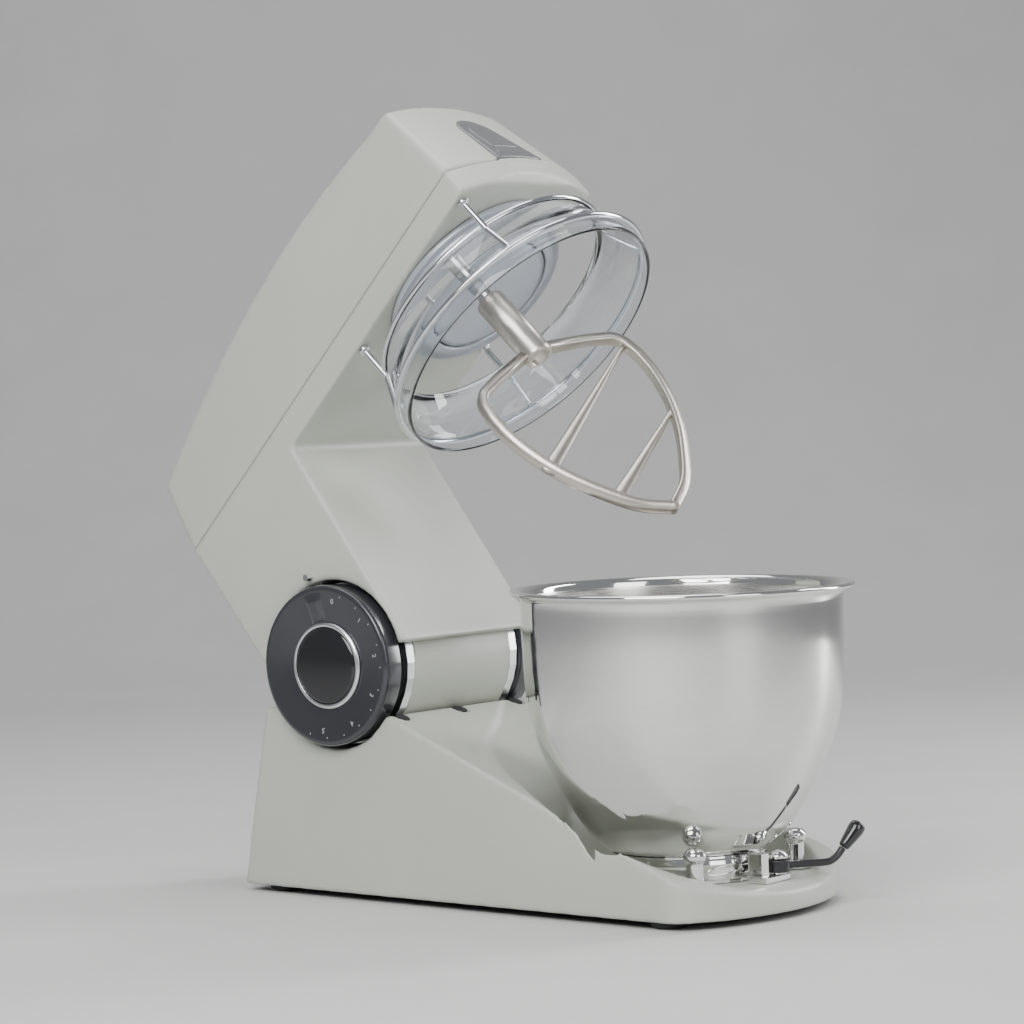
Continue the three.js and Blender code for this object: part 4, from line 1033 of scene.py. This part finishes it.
NUMBERS_RADIUS = 46.2
numbers = []
for text, degrees in (("0", 10), ("1", 45), ("2", 80), ("3", 115), ("4", 150), ("5", 185)):
    curve = bpy.data.curves.new("number", "FONT")
    curve.body, curve.size, curve.align_x, curve.align_y = text, 5.4, "CENTER", "CENTER"
    curve.extrude = 0.12
    held = bpy.data.objects.new("number", curve)
    bpy.context.collection.objects.link(held)
    mesh = bpy.data.meshes.new_from_object(held.evaluated_get(bpy.context.evaluated_depsgraph_get()))
    bpy.data.objects.remove(held)
    points = corners_of(mesh)
    turn = np.radians(degrees)
    outward = NUMBERS_RADIUS + points[:, 1]
    placed = on_face(outward, turn + points[:, 0] / NUMBERS_RADIUS, 0.12 + points[:, 2])
    mesh.vertices.foreach_set("co", from_axis(placed).ravel())
    mesh.update()
    number = bpy.data.objects.new("number", mesh)
    bpy.context.collection.objects.link(number)
    numbers.append(wears(number, mark_grey))
dial_piece = joined("speed_dial", dial_piece, *numbers)
belongs(dial_piece, "dial", "dial_body")

trim_face = [[30.8, -83.4], [29.4, -84.6], [27.6, -84.4]]
trim_profile = rounded_path([[27.6, -82.3], [30.8, -82.3], *trim_face, [27.6, -82.3]], 0.5, 4)
trim_piece = wears(lathe("dial_ring", trim_profile[:-1], at_hinge, 128, True), ring_aluminium)
belongs(trim_piece, "dial", "dial_trim")

cap_profile = rounded_path([[0, -82.3], [27.2, -82.3], [27.2, -83.8], [25.6, -85], [0, -85.6]], 0.8, 5)
cap_piece = wears(lathe("dial_middle", cap_profile, at_hinge, 128), gloss_black)
belongs(cap_piece, "dial", "dial_cap")

plain_piece = skirted("plain_cap", 1, [graphite_gloss])
belongs(plain_piece, "arm", "hinge_cap_right")

# %% [markdown]
# ## The nodes that stay
# The rest of the frame's nodes are right as they are: the feet, the seat, the bright plates of the
# hinge, the drive inside. Each only needs its finish.

# %% Finishes for the frame's own nodes
FINISHES = {
    soft_rubber: "base_plate foot_1 foot_2 foot_3 foot_4 drive_belt seal_ring_left seal_ring_right "
    "head_bumper_left head_bumper_middle head_bumper_right",
    bronze: "drum_bush_left drum_bush_right",
    gloss_black: "power_inlet motor_fan carrier_pulley",
    mirror_steel: "bowl_seat pointer_pin",
    ring_aluminium: "bearing_plate_left bearing_plate_right",
    plain_steel: "hinge_shaft dial_spindle ring_gear planet_pinion beater_spindle spindle_pin "
    "lower_bearing upper_bearing motor_pulley",
    satin_drive: "gearbox_frame motor_can",
    winding: "motor_rotor",
    green_board: "control_board",
}
for material, names in FINISHES.items():
    for name in names.split():
        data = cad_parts[name].data
        data.materials.clear()
        data.materials.append(material)
print(sum(len(n.split()) for n in FINISHES.values()), "nodes kept")

# %% [markdown]
# ## Floor and light
# A pale floor curves up behind the mixer, so there is no horizon. One large soft light stands at the
# left, a strip at the right draws bright edges on the steel, and one from above fills the rest.

# %% Floor
u = np.linspace(-3.2, 3.2, 25)
reach = np.concatenate([np.linspace(-3.0, 1.6, 12), 1.6 + 1.2 * np.sin(np.linspace(0, np.pi / 2, 12))[1:], [2.8]])
rise = np.concatenate([np.zeros(12), 1.2 - 1.2 * np.cos(np.linspace(0, np.pi / 2, 12))[1:], [4.0]])
turn_floor = AZIMUTH
x = u[:, None] + 0 * reach[None]
d = reach[None] + 0 * u[:, None]
floor_points = np.stack([
    x * np.cos(turn_floor) - d * np.sin(turn_floor),
    x * np.sin(turn_floor) + d * np.cos(turn_floor),
    rise[None] + 0 * x - 0.0005,
], -1)
floor = make_object("floor", floor_points.reshape(-1, 3), grid_faces(*floor_points.shape[:2]))
floor_paint = grained("floor_paint", (0.62, 0.62, 0.61), (0.55, 0.7), 0.02, 300.0, 0.03)
wears(floor, floor_paint)


# %% Lights
def soft_light(name, place, target, size, power, color=(1, 1, 1)):
    """A rectangular light at a place in metres, turned to face a target."""
    data = bpy.data.lights.new(name, "AREA")
    data.shape, data.size, data.size_y = "RECTANGLE", size[0], size[1]
    data.energy, data.color = power, color
    lamp = bpy.data.objects.new(name, data)
    bpy.context.collection.objects.link(lamp)
    lamp.location = place
    lamp.rotation_euler = (Vector(target) - Vector(place)).to_track_quat("-Z", "Y").to_euler()
    return lamp


middle = (0.0, 0.0, 0.28)
soft_light("key", (-1.7, -0.6, 1.5), middle, (1.3, 1.3), 46)
soft_light("fill", (-0.5, -2.2, 0.9), middle, (0.9, 1.3), 14)
soft_light("strip", (1.5, -0.9, 0.9), middle, (0.35, 1.6), 26)
soft_light("above", (0.1, 0.3, 2.1), middle, (1.4, 1.4), 24)
world = bpy.data.worlds.new("studio")
bpy.context.scene.world = world
world.use_nodes = True
world.node_tree.nodes["Background"].inputs["Color"].default_value = (0.80, 0.82, 0.85, 1)
world.node_tree.nodes["Background"].inputs["Strength"].default_value = 0.32
bpy.context.scene.view_settings.view_transform = "AgX"
